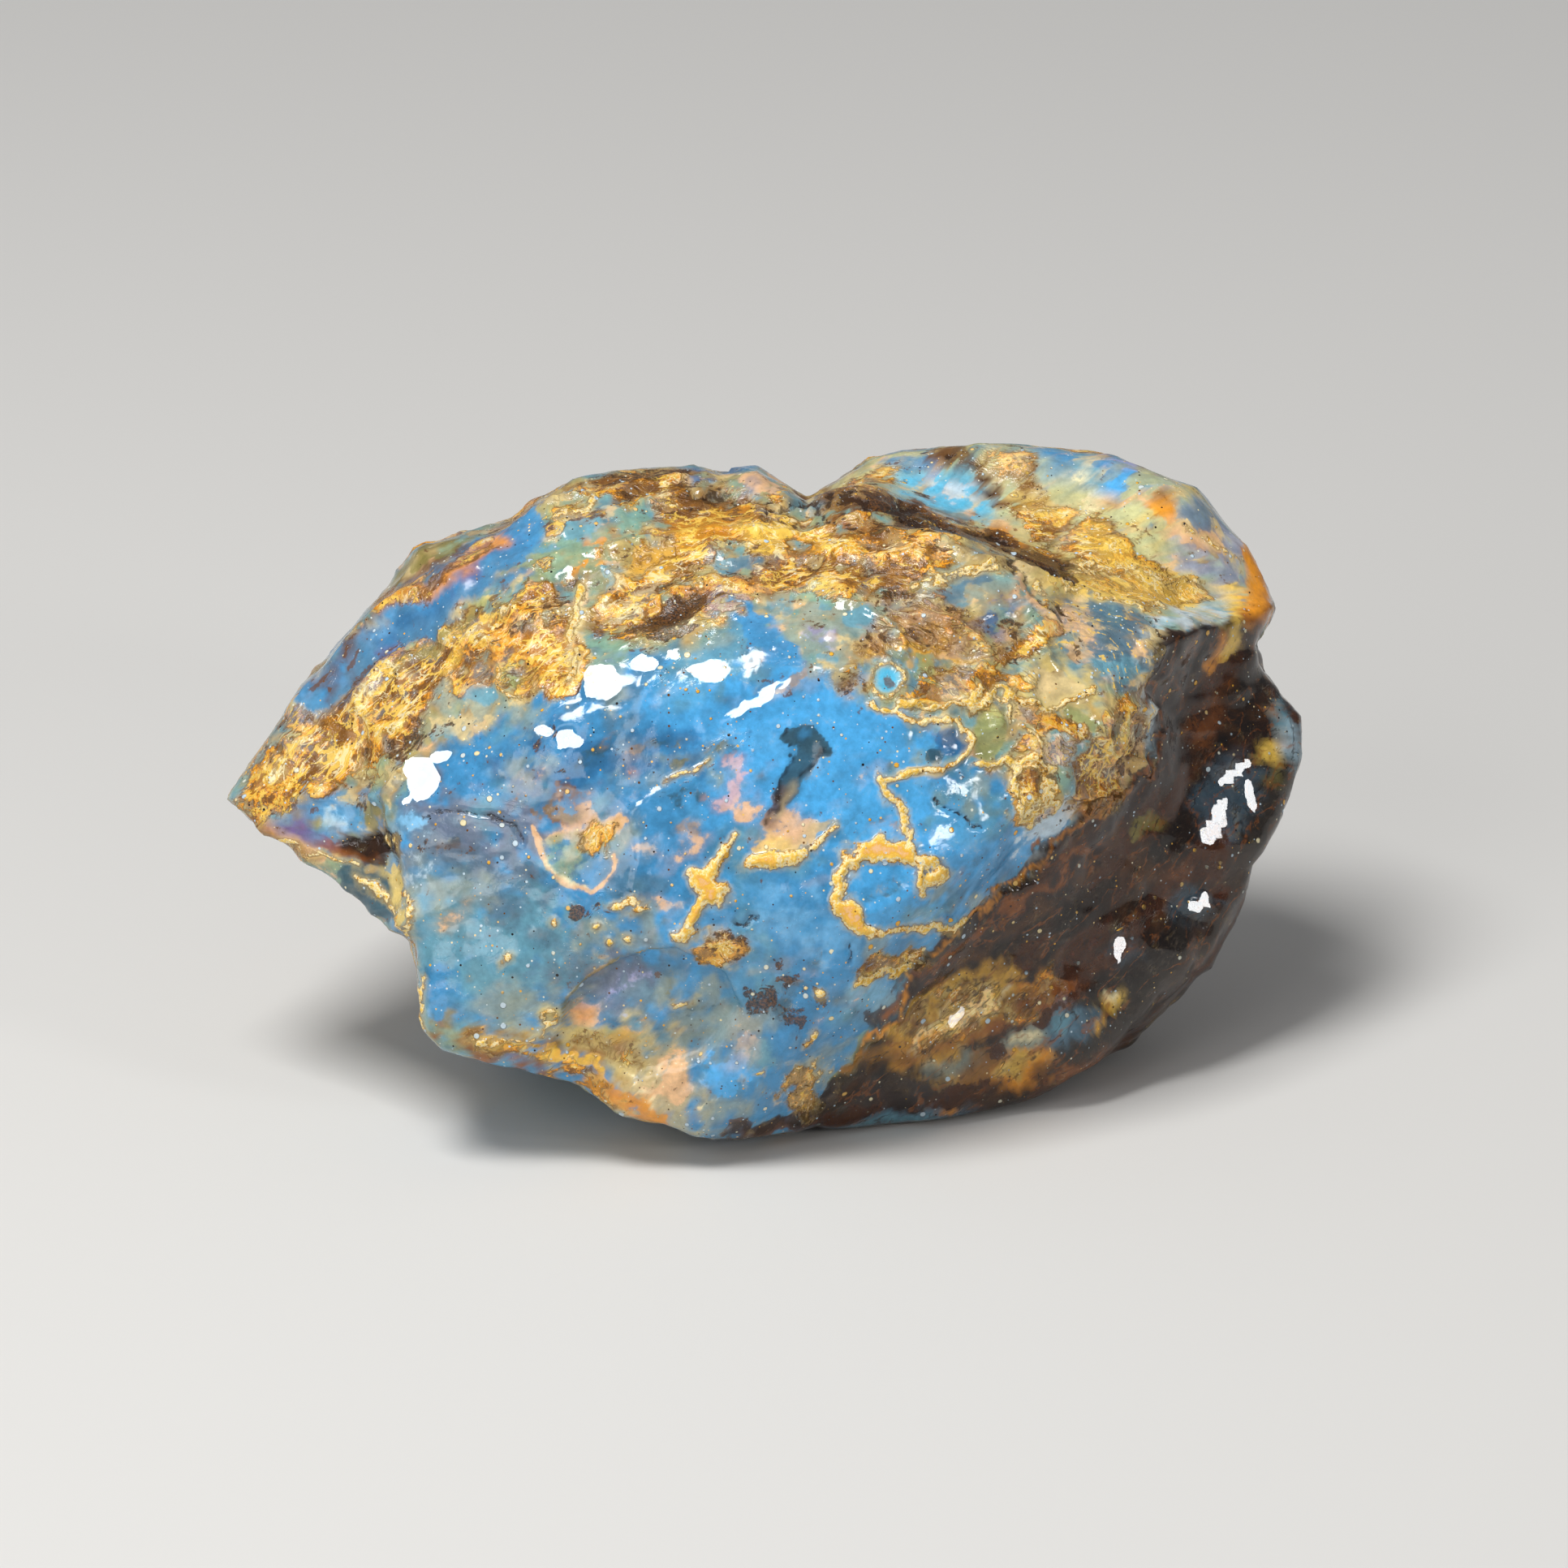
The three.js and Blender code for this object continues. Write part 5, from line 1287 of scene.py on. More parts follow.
@dataclass
class Painter:
    """Lays tints and coats over the skin's points: soft tints under, and torn tints over them."""

    points: Array
    zones: Zones
    under: Array = field(init=False)
    over: Array = field(init=False)
    cover: Array = field(init=False)
    coats: dict[Coat, Array] = field(init=False)

    def __post_init__(self) -> None:
        """Starts every sheet and coat empty."""
        count = len(self.points)
        self.under = np.zeros((count, 3))
        self.over = np.zeros((count, 3))
        self.cover = np.zeros(count)
        self.coats = {coat: np.zeros(count) for coat in (GILD, SOIL, SMOOTH)}
        self.coats |= {coat: np.full(count, -1.0) for coat in (VEIN, CRACK)}

    def stain(self, tint: Tint, share: Array) -> None:
        """Mixes one tint softly into the sheet under the marks, by its share at each point."""
        self.under += (np.array(linear(tint.value)) - self.under) * np.clip(share, 0, 1)[:, None]

    def tint(self, tint: Tint, share: Array) -> None:
        """Lays one tint on the torn sheet over the rest, by its share at each point."""
        share = np.clip(share, 0, 1)
        self.over += (np.array(linear(tint.value)) - self.over) * share[:, None]
        self.cover += (1 - self.cover) * share

    def over_colours(self) -> Array:
        """The torn sheet's own colours, with what lies under it taken out."""
        return np.clip(self.over / np.maximum(self.cover, 0.002)[:, None], 0, 1)

    def ground(self) -> None:
        """The colours that run all over the lump, before any placed mark."""
        points, zones = self.points, self.zones
        self.stain(BLUE, np.ones(len(points)))
        self.stain(AZURE, softstep(0.0, 0.5, fractal(points, 4.5, 11)) * 0.7)
        self.stain(TEAL, softstep(-0.1, 0.4, fractal(points, 3.6, 21)) * 0.8)
        self.stain(STEEL, softstep(0.2, 0.6, fractal(points, 2.4, 31)) * 0.6)
        self.stain(MIST, softstep(0.25, 0.6, fractal(points, 3.0, 41)) * 0.6)
        crust = (1 - zones.milk) * (1 - zones.clear)
        self.stain(SEA, crust * 0.7)
        self.stain(STEEL, crust * softstep(-0.1, 0.4, fractal(points, 3.4, 61)) * 0.7)
        self.stain(SAND, crust * softstep(-0.1, 0.4, fractal(points, 2.8, 71)) * 0.8)
        self.stain(MOSS, crust * softstep(0.0, 0.5, fractal(points, 2.2, 75)) * 0.5)
        self.stain(LIME, zones.lobe * 0.5)
        self.stain(HEATHER, (1 - zones.front) * softstep(0.0, 0.5, fractal(points, 5.0, 45)) * 0.6)
        self.stain(MIST, (1 - zones.front) * softstep(0.1, 0.5, fractal(points, 3.2, 47)) * 0.7)
        self.stain(AMBER, zones.clear)
        grain = stretched(points, 30, 2.0)
        self.tint(PEACH, zones.milk * softstep(0.5, 0.95, fractal(grain, 1.4, 65)) * 0.35)
        self.tint(SLATE, zones.milk * softstep(0.3, 0.9, fractal(grain, 1.2, 67)) * 0.45)
        self.tint(ICE, zones.milk * softstep(0.4, 0.9, fractal(grain, 1.3, 69)) * 0.3)
        self.tint(DEEP, (1 - zones.front) * softstep(0.1, 0.7, fractal(grain, 1.8, 73)) * 0.6)
        self.tint(TAN, crust * softstep(0.1, 0.5, fractal(points, 1.3, 81)) * 0.6)
        self.tint(PEACH, crust * softstep(0.35, 0.7, fractal(points, 1.5, 91)) * 0.5)
        self.tint(UMBER, crust * softstep(0.3, 0.6, fractal(points, 1.4, 101)) * 0.35)
        self.tint(TEAL, crust * softstep(0.25, 0.6, fractal(points, 1.6, 107)) * 0.6)
        along = stretched(points, FLANK_BEARING, 3.0)
        self.tint(INK, zones.clear * softstep(-0.6, 0.1, fractal(along, 3.0, 121)) * 0.97)
        self.tint(BARK, zones.clear * softstep(0.1, 0.5, fractal(along, 1.5, 125)) * 0.6)
        self.tint(RUST, zones.clear * softstep(0.3, 0.7, fractal(along, 2.2, 129)) * 0.3)
        self.tint(UMBER, zones.clear * softstep(0.35, 0.6, fractal(along, 1.1, 127)) * 0.3)
        self.coats[GILD] += crust * (0.16 + 0.3 * fractal(points, 2.6, 131)) * (1 - 0.4 * zones.lobe)
        back_gild = crust * 0.2 + softstep(0.1, 0.6, fractal(grain, 2.0, 135)) * 0.3
        self.coats[GILD] += (1 - zones.front) * back_gild
        self.coats[SOIL] += crust * (0.3 + 0.25 * fractal(points, 2.2, 141))
        for coat in (GILD, SOIL):
            self.coats[coat] = np.clip(self.coats[coat], 0, 1)

    def lay(self, marks: tuple[Mark, ...]) -> None:
        """Lays placed marks on the side that the main face looks to, each with a torn edge.

        Args:
            marks: spots and lines in the order they lie.
        """
        points, front = self.points, self.zones.front
        shift = [
            0.55 * fractal(points, 2.0, seed) + 0.25 * fractal(points, 0.8, seed + 5) for seed in (201, 211)
        ]
        tear = fractal(points, 0.9, 221)
        for mark in marks:
            x = points[:, 0] + shift[0] * mark.loose
            y = points[:, 1] + shift[1] * mark.loose
            depth = mark.depth(x, y)
            if mark.ink in (VEIN, CRACK):
                inside = np.clip(depth - (1 - front), -1, 1)
                self.coats[mark.ink] = np.maximum(self.coats[mark.ink], inside)
                continue
            share = softstep(-mark.soft, mark.soft, depth + tear * mark.soft * 0.9 * mark.loose)
            share *= mark.strength * front
            if isinstance(mark, Stain):
                self.stain(mark.ink, share)
            elif isinstance(mark.ink, Tint):
                self.tint(mark.ink, share)
            else:
                self.coats[mark.ink] = blend(self.coats[mark.ink], 1.0, share)


SKYWARD = (-0.12, 0.43, 0.89)  # looks up to the overhead light from the face frame
FLANKWARD = (0.39, 0.05, 0.92)  # looks up to the light at the right
SHOULDER = (
    (-16.0, 0.4), (-13.4, 1.9), (-10.2, 3.0), (-7.5, 4.8), (-5.5, 5.7), (-2.6, 5.4), (0.4, 4.6),
    (2.6, 3.8),
)


@dataclass(frozen=True)
class Chip:
    """A small flat facet that shines wet: its middle, half sizes and turn, and the way it looks."""

    x: float
    y: float
    wide: float
    high: float
    turn: float = 0.0
    looks: tuple[float, float, float] = SKYWARD

    def flatten(self, points: Array, normals: Array, front: Array) -> tuple[Array, Array]:
        """Where the facet lies and how far the skin has to move to be flat there.

        Args:
            points: skin points in mm.
            normals: their outward normals.
            front: share of each point that looks the main face's way.

        Returns:
            The facet's share at each point, and the move along the normal in mm: from the skin to the plane
            through the facet's middle.
        """
        x = points[:, 0] + 0.2 * fractal(points, 1.1, 601)
        y = points[:, 1] + 0.2 * fractal(points, 1.1, 611)
        inside = Spot(VEIN, self.x, self.y, self.wide, self.high, self.turn).depth(x, y)
        middle = points[np.argmax(inside - 9.0 * (1 - front))]
        way = np.array(self.looks) / np.linalg.norm(self.looks)
        away = ((middle - points) @ way) / np.maximum(normals @ way, 0.3)
        return softstep(-0.12, 0.12, inside) * front, np.clip(away, -1.0, 1.0)


CHIPS = several(
    Chip,
    (-7.5, 4.9, 0.9, 0.75, 20), (-5.5, 5.8, 0.65, 0.42, 10), (-2.6, 5.4, 0.95, 0.45, -10),
    (-0.4, 4.1, 1.5, 0.28, 32), (-9.0, 2.3, 0.62, 0.52), (-10.2, 2.7, 0.4, 0.3),
    (-15.8, 0.5, 0.75, 0.95, -20), (-14.9, 1.5, 0.5, 0.3, 30), (-16.6, -0.5, 0.28, 0.2, 30),
    (-4.2, 6.2, 0.3, 0.2, 10), (21.0, -1.5, 1.3, 0.42, 74, FLANKWARD),
    (21.9, 0.8, 0.9, 0.34, 32, FLANKWARD), (22.5, -0.4, 0.8, 0.28, 100, FLANKWARD),
    (20.4, -5.3, 0.7, 0.4, 40, FLANKWARD), (16.4, -7.5, 0.7, 0.3, 80, FLANKWARD),
    (8.8, -10.6, 0.6, 0.26, 48, FLANKWARD),
)


@dataclass(frozen=True)
class Relief:
    """How far the skin stands out of the bare form, in mm."""

    flake_size: float = 6.5
    flake_depth: float = 0.5
    sway_size: float = 3.0
    sway_height: float = 0.12
    shoulder_size: float = 2.3
    shoulder_height: float = 0.5
    crest_size: float = 2.3
    crest_height: float = 0.55
    nodule_size: float = 0.85
    nodule_height: float = 0.14
    ripple_size: float = 5.0
    ripple_height: float = 0.9
    vein_height: float = 0.2
    crack_depth: float = 0.25
    step_depth: float = 0.45
    dent_size: float = 2.3
    dent_depth: float = 0.12
    scallop_size: float = 1.6
    scallop_depth: float = 0.12
    knot: Point = (13.8, 3.8)

    def crests(self, points: Array) -> Array:
        """Crust crests from 0 to 1, drawn out along the crust's grain."""
        return ridges(flow(points), self.crest_size, 431)

    def height(
        self, points: Array, normals: Array, zones: Zones, coats: dict[Coat, Array]
    ) -> tuple[Array, Array, Array, Array]:
        """Adds up the skin's relief.

        Args:
            points: skin points in mm.
            normals: their outward normals.
            zones: the shares of each kind of skin.
            coats: what lies on the resin.

        Returns:
            The height over the bare form in mm, the crust's own crests from 0 to 1, the share of each point
            that a wet facet takes, and the way that such a facet looks there.
        """
        crust = (1 - zones.milk) * (1 - zones.clear) * (1 - 0.55 * zones.lobe)
        bent = points + 0.6 * np.stack([fractal(points, 4.0, seed, 2) for seed in (451, 461, 471)], 1)
        nearest, _, own = cells(bent, self.flake_size, 481)
        dents, _, _ = cells(bent, self.dent_size, 491)
        domes, _, _ = cells(bent, self.ripple_size, 501)
        scallops, _, _ = cells(bent, self.scallop_size, 511)
        knobs, _, _ = cells(bent, self.shoulder_size, 515)
        lumps, _, _ = cells(points, self.nodule_size, 521)
        crests = self.crests(points)
        along = Line(VEIN, 0.6, SHOULDER).depth(points[:, 0], points[:, 1])
        shoulder = softstep(-1.6, 0.4, along) * zones.front
        under = edge_depth(points[:, 0], points[:, 1], UNDER_ARC)
        step = softstep(-0.05, 0.2, under) * (1 - softstep(0.4, 3.0, under)) * zones.front
        total = (nearest**2 - 0.3) * self.flake_depth * (0.4 + own[:, 0]) * (1 - zones.clear)
        total += self.sway_height * fractal(points, self.sway_size, 531)
        total -= (dents**2 - 0.3) * self.dent_depth * zones.milk
        total += (0.35 - knobs**2) * self.shoulder_height * shoulder
        waves = (0.35 - domes**2) * self.ripple_height - (scallops**2 - 0.3) * self.scallop_depth
        total += waves * zones.clear
        facing = blend(0.35, 1.0, softstep(0.1, 0.55, np.abs(normals[:, 2])))
        total += (crests - 0.3) * self.crest_height * crust * facing * (1 - 0.8 * coats[SMOOTH])
        total += (0.4 - lumps) * self.nodule_height * crust * softstep(0.1, 0.5, crests)
        total += self.vein_height * softstep(-0.12, 0.22, coats[VEIN] + 0.12 * fractal(points, 0.8, 541, 2))
        total -= self.crack_depth * softstep(-0.15, 0.15, coats[CRACK])
        total -= self.step_depth * step
        wet = np.zeros(len(points))
        looks = np.where(zones.clear[:, None] > 0.5, FLANKWARD, SKYWARD)
        for chip in CHIPS:
            share, move = chip.flatten(points, normals, zones.front)
            total = blend(total, move, share)
            wet = np.maximum(wet, share)
        return total, crests, wet, looks

    def grain(self, points: Array) -> tuple[Array, Array]:
        """Thin layers that the crust grew in, as rings round a knot on its right.

        Args:
            points: skin points in mm.

        Returns:
            The distance across the layers in mm, and how clearly they show, from 0 to 1.
        """
        x, y = points[:, 0], points[:, 1]
        rings = np.hypot(x - self.knot[0], y - self.knot[1]) + 0.35 * fractal(points, 2.2, 551)
        clear = softstep(9.0, 13.0, x) * softstep(1.8, 2.6, rings) * (1 - softstep(5.0, 6.2, rings))
        return rings, clear * softstep(1.5, 3.5, y + 0.3 * x - 4.0)


# --- the finish ---

Socket = bpy.types.NodeSocket
Source = Socket | str | float  # an output, the name of one that is kept, or a plain number
Parts = tuple[tuple[Source, float], ...]
Stops = tuple[tuple[float, Tint], ...]

MIX_SHARE, MIX_UNDER, MIX_OVER = 0, 6, 7  # numbers of a colour mix's inputs
WAY_UNDER, WAY_OVER = 4, 5  # numbers of a vector mix's inputs
RANGE_LOW, RANGE_HIGH, RANGE_FROM, RANGE_TO = 1, 2, 3, 4  # numbers of a range's inputs

# The gold's cream end lies on the crests as painted highlight.
GOLD_RUN = ((0.0, OCHRE), (0.15, ORANGE), (0.34, GOLD), (0.58, HONEY), (0.84, CREAM))
# The wash's umber end lies in the crust's hollows as painted shade.
WASH_AND_HOLLOW_SHADE_RUN = ((0.05, UMBER), (0.2, OCHRE), (0.4, SAND), (0.65, WHEAT))
VEIN_RUN = ((0.0, OCHRE), (0.12, GOLD), (0.26, CREAM), (0.42, HONEY), (0.68, GOLD), (1.0, PEACH))
SOIL_RUN = ((0.3, INK), (0.45, BARK), (0.62, UMBER))
# The cream and ice ends are painted glints on the beads.
BEAD_AND_GLINT_RUN = ((0.15, GOLD), (0.4, CREAM), (0.7, ICE))

NOISES = (  # name, mm across one cloud, how many finer layers lie over it and how much it bends itself
    ("wide", 1.3, 5.0, 0.4), ("tear", 0.7, 5.0, 0.5), ("fine", 0.3, 4.0, 0.3), ("grit", 0.11, 2.0, 0.0),
)
NOISE_ROUGHNESS = 0.62  # strength of each finer layer against the one before
WIRES = ((0.8, 6.5), (2.1, 5.5))  # clouds in each mm across the crust's strands, and how fast one falls off
WIRE_WARP = 0.6  # how much the strands' noise bends itself
FIBRES = (  # clouds in each mm across, how fast a fibre falls off, its largest share and its tint
    (0.7, 7.0, 0.6, RUST), (1.1, 7.0, 0.7, INK), (3.4, 6.0, 0.2, DUST),
)
SPRINKLES = (  # mm between the places where one may sit, largest radius as a share of that, and colours
    (0.34, 0.17, SOIL_RUN), (0.26, 0.21, BEAD_AND_GLINT_RUN), (0.6, 0.22, BEAD_AND_GLINT_RUN),
)
GRAIN_SPACING = 0.42  # mm from one thin layer of the crust to the next
NET_SPACING = 0.75  # mm from one cell of the crust's net to the next, across its grain
NET_SWIRL = 1.2  # mm by which the net is bent at most
SKIN_VALUES = (
    "cover", "gild", "soil", "vein", "crack", "smooth", "clear", "milk", "crest", "grain", "grained", "wet",
)
SKIN_COLOURS = ("under", "over")


@dataclass
class Layers:
    """The nodes of the lump's finish, laid one over the other from the depth up."""

    tree: bpy.types.NodeTree
    colour: Source = 0.0
    fields: dict[str, Socket] = field(default_factory=dict)

    def add(self, kind: str, inputs: dict, stops: Stops = (), **settings: object) -> Socket:
        """Adds a node with its settings and links.

        Args:
            kind: the node's type.
            inputs: for each input's name or number, the source that feeds it or a value.
            stops: the places and tints of a colour run, for a node that has one.
            settings: the node's own properties.

        Returns:
            The node's first output in use.
        """
        node = self.tree.nodes.new(kind)
        for name, value in settings.items():
            setattr(node, name, value)
        for name, value in inputs.items():
            if isinstance(value, str):
                value = self.fields[value]
            if isinstance(value, Socket):
                self.tree.links.new(value, node.inputs[name])
            else:
                node.inputs[name].default_value = value
        for number, (place, tint) in enumerate(stops):
            while len(node.color_ramp.elements) < len(stops):
                node.color_ramp.elements.new(1.0)
            node.color_ramp.elements[number].position = place
            node.color_ramp.elements[number].color = rgba(tint)
        return next((output for output in node.outputs if output.enabled), None)

    def weigh(self, parts: Parts) -> Source:
        """Adds sources up, each by its weight, with a chain of sums.

        Args:
            parts: sources and their weights.

        Returns:
            The sum.
        """
        level = 0.0
        for source, weight in parts:
            level = self.add("ShaderNodeMath", {0: source, 1: weight, 2: level}, operation="MULTIPLY_ADD")
        return level

    def level(self, parts: Parts, low: float, high: float, start: float = 0.0, end: float = 1.0) -> Socket:
        """Adds sources up by weight and eases the sum.

        Args:
            parts: sources and their weights.
            low: the sum that gives start.
            high: the sum that gives end.
            start: the value up to low.
            end: the value from high on.

        Returns:
            The eased value.
        """
        inputs = {
            "Value": self.weigh(parts), RANGE_LOW: low, RANGE_HIGH: high, RANGE_FROM: start, RANGE_TO: end,
        }
        return self.add("ShaderNodeMapRange", inputs, interpolation_type="SMOOTHSTEP")

    def strands(self, place: Socket, per_unit: float, warp: float, spread: float) -> Socket:
        """Thin lines along which noise crosses its middle: 1 less the distance from the middle, scaled up.

        Args:
            place: where the noise is read.
            per_unit: clouds in each unit of length.
            warp: how much the noise bends itself.
            spread: how fast the lines fall off.

        Returns:
            A value of 1 on the lines, falling below 0 between them.
        """
        inputs = {"Vector": place, "Scale": per_unit, "Detail": 3.0, "Roughness": 0.5, "Distortion": warp}
        noise = self.add("ShaderNodeTexNoise", inputs)
        away = self.add("ShaderNodeMath", {0: noise, 1: 0.5}, operation="SUBTRACT")
        away = self.add("ShaderNodeMath", {0: away}, operation="ABSOLUTE")
        return self.weigh(((1.0, 1.0), (away, -spread)))

    def tones(self, share: Source, level: Source, stops: Stops) -> None:
        """Lays a run of tints along a level over what is there, by a share."""
        run = self.add("ShaderNodeValToRGB", {0: level}, stops)
        inputs = {MIX_SHARE: share, MIX_UNDER: self.colour, MIX_OVER: run}
        self.colour = self.add("ShaderNodeMix", inputs, data_type="RGBA")

    def shade(self, parts: Parts, low: float, high: float, end: float, tint: Tint) -> Socket:
        """Lays one tint over what is there, by an eased sum that ends at a largest share.

        Args:
            parts: sources and their weights.
            low: the sum where the tint starts.
            high: the sum from which it is at its most.
            end: its largest share.
            tint: the tint.

        Returns:
            The share.
        """
        share = self.level(parts, low, high, 0.0, end)
        inputs = {MIX_SHARE: share, MIX_UNDER: self.colour, MIX_OVER: rgba(tint)}
        self.colour = self.add("ShaderNodeMix", inputs, data_type="RGBA")
        return share

    def read(self) -> None:
        """Brings in the skin's named values and the noise that several layers share."""
        fields = self.fields
        fields["place"] = self.add("ShaderNodeTexCoord", {}).node.outputs["Object"]
        for name in SKIN_VALUES:
            fields[name] = self.add("ShaderNodeAttribute", {}, attribute_name=name).node.outputs["Fac"]
        for name in SKIN_COLOURS:
            fields[name] = self.add("ShaderNodeAttribute", {}, attribute_name=name)
        for name in ("flow", "looks"):
            fields[name] = self.add("ShaderNodeAttribute", {}, attribute_name=name).node.outputs["Vector"]
        for name, size, detail, warp in NOISES:
            inputs = {
                "Vector": "place", "Scale": 1 / (size * MM), "Detail": detail,
                "Roughness": NOISE_ROUGHNESS, "Distortion": warp,
            }
            fields[name] = self.add("ShaderNodeTexNoise", inputs)
        bent = "flow"
        for name, way in (("tear", (NET_SWIRL, 0.0, 0.0)), ("wide", (0.0, NET_SWIRL, 0.0))):
            bent = self.add("ShaderNodeVectorMath", {0: name, 1: way, 2: bent}, operation="MULTIPLY_ADD")
        inputs = {"Vector": bent, "Scale": 1 / NET_SPACING}
        fields["net"] = self.add("ShaderNodeTexVoronoi", inputs, feature="DISTANCE_TO_EDGE")

    def milk(self) -> None:
        """Milky depth: slow light and dark clouds with finer mottling, and torn tints over them."""
        torn = self.level((("cover", 1.0), ("tear", 0.9), ("fine", 0.5)), 1.08, 1.34)
        share = self.weigh(((torn, 0.6), ("cover", 0.4)))
        inputs = {MIX_SHARE: share, MIX_UNDER: "under", MIX_OVER: "over"}
        stained = self.add("ShaderNodeMix", inputs, data_type="RGBA")
        light = self.level((("wide", 0.6), ("fine", 0.4), ("tear", 0.3)), 0.4, 0.9, 0.74, 1.26)
        inputs = {MIX_SHARE: 1.0, MIX_UNDER: stained, MIX_OVER: light}
        self.colour = self.add("ShaderNodeMix", inputs, data_type="RGBA", blend_type="MULTIPLY")
        self.fields["share"] = share

    def grain(self) -> None:
        """Thin layers show as broken gold lines with faint dark grooves between them."""
        turns = self.weigh((("grain", 2 * np.pi / GRAIN_SPACING), ("tear", 6.0)))
        wave = self.add("ShaderNodeMath", {0: turns}, operation="SINE")
        layer = self.add("ShaderNodeMath", {0: wave, 1: "grained"}, operation="MULTIPLY")
        self.shade(((layer, -1.0), ("fine", 0.4)), 0.5, 1.1, 0.25, SLATE)
        self.shade(((layer, 1.0), ("fine", 1.8), ("tear", 1.0)), 2.36, 2.5, 0.8, HONEY)
        self.fields["layer"] = layer

    def crust(self) -> None:
        """Ochre wash, painted darker in the hollows and paler on the crests as shade and light, and dark
        grit in the hollows, then golden strands that run together on the crests, painted towards cream
        there as highlight.
        """
        wash = self.level(
            (("gild", 1.0), ("tear", 0.8), ("wide", 0.6), ("smooth", -0.7)),
            0.75, 1.35, 0.0, 0.8,
        )
        # Painted shade and light: the wash runs towards umber in the crust's hollows and towards wheat on
        # its crests, besides noise.
        tone = self.weigh((("crest", 0.45), ("tear", 0.5), ("grit", 0.25), ("wide", 0.3)))
        self.tones(wash, self.weigh(((tone, 1.3), (1.0, -0.42))), WASH_AND_HOLLOW_SHADE_RUN)
        long, short = (self.strands("flow", per_unit, WIRE_WARP, spread) for per_unit, spread in WIRES)
        wires = self.add("ShaderNodeMath", {0: long, 1: short}, operation="MAXIMUM")
        soil = self.level(
            (
                ("soil", 0.75), ("crest", -0.4), ("fine", 0.7), ("tear", 0.35),
                (wires, -0.3), ("smooth", -0.4),
            ),
            0.53, 0.68,
        )
        self.tones(self.weigh(((soil, 0.88),)), "grit", SOIL_RUN)
        gilt = self.weigh(
            (
                (wires, 0.45), ("gild", 0.8), ("crest", 0.2), ("fine", 0.3),
                ("wide", 0.5), ("tear", 0.3), ("smooth", -0.35),
            )
        )
        # Umber rims beside the golden strands: painted shade in the crevices next to them, as well as
        # brown.
        self.shade(((gilt, 1.0), ("gild", 0.1)), 1.22, 1.42, 0.5, UMBER)
        gild = self.level(((gilt, 1.0),), 1.34, 1.42)
        # Painted highlight: the gold's tone rises towards cream on the crests, besides noise.
        tone = self.weigh(
            ((gilt, 0.9), ("wide", 1.6), ("grit", 0.7), ("crest", 0.7), ("fine", 1.3), (1.0, -3.44))
        )
        self.tones(gild, tone, GOLD_RUN)
        # Umber in the middle of the net's cells: painted shade in these hollows, over the crust's own
        # brown.
        pits = (("net", 1.0), ("gild", 0.4), ("fine", -0.9), ("wide", -0.4))
        self.shade(pits, -0.18, -0.08, 0.7, UMBER)
        dyed = self.add("ShaderNodeMath", {0: gild, 1: self.weigh((("cover", 0.5),))}, operation="MULTIPLY")
        inputs = {MIX_SHARE: dyed, MIX_UNDER: self.colour, MIX_OVER: "over"}
        self.colour = self.add("ShaderNodeMix", inputs, data_type="RGBA")
        seams = (
            ("net", -1.0), ("gild", 0.3), ("tear", 0.25), ("wide", 0.45),
            ("smooth", -0.05), (1.0, -0.55),
        )
        self.fields["seamed"] = self.shade(seams, -0.02, 0.03, 0.75, HONEY)
        fibre = ((wires, 1.0), ("gild", 0.16), ("wide", 0.5), ("smooth", -0.3))
        self.shade(fibre, 1.3, 1.38, 0.65, CREAM)
        self.fields["soiled"] = soil
        self.fields["gilded"] = gild
        self.fields["gilt"] = gilt

    def film(self) -> None:
        """The clear flank's skin: fine pale fibres and rusty streaks, all drawn out along it."""
        for per_unit, spread, reach, tint in FIBRES:
            fibre = self.strands("flow", per_unit, 0.3, spread)
            self.shade(((fibre, 1.0), ("clear", 1.0), ("tear", 1.0)), 2.3, 2.6, reach, tint)

    def veins(self) -> None:
        """Dark cracks, then golden veins with brown rims and pale cores, all with crumbled edges."""
        crumble = (("fine", 0.3), ("tear", 0.35), (1.0, -0.325))
        self.shade((("vein", 1.0), ("tear", 0.6)), 0.0, 0.35, 0.4, WHEAT)
        self.fields["cracked"] = self.shade((("crack", 1.0), *crumble), -0.05, 0.06, 0.85, BARK)
        depth = self.weigh((("vein", 1.0), *crumble))
        self.shade(((depth, 1.0), ("wide", 0.2)), 0.0, 0.1, 0.5, UMBER)
        vein = self.level(((depth, 1.0),), -0.03, 0.03)
        tone = self.weigh(((depth, 1.6), ("grit", 0.5), ("wide", 0.8), ("fine", 0.9), (1.0, -0.95)))
        self.tones(vein, tone, VEIN_RUN)
        self.fields["veined"] = vein
        self.fields["depth"] = depth

    def beads(self) -> None:
        """Dark specks, gold dust and golden beads, their palest painted as tiny glints, all thicker in some
        places.
        """
        for spacing, largest, stops in SPRINKLES:
            beads = self.add("ShaderNodeTexVoronoi", {"Vector": "place", "Scale": 1 / (spacing * MM)})
            picks = self.add("ShaderNodeSeparateColor", {0: beads.node.outputs["Color"]}).node.outputs
            size = self.add("ShaderNodeMath", {0: picks[0], 1: 3.0}, operation="POWER")
            thick = (("tear", 0.2), ("crest", 0.06), (1.0, -0.1))
            bead = self.level(((size, largest), (beads, -1.0), *thick), -0.02, 0.05)
            self.tones(bead, picks[1], stops)
        self.fields["bead"] = bead  # the last and largest ones stand proud


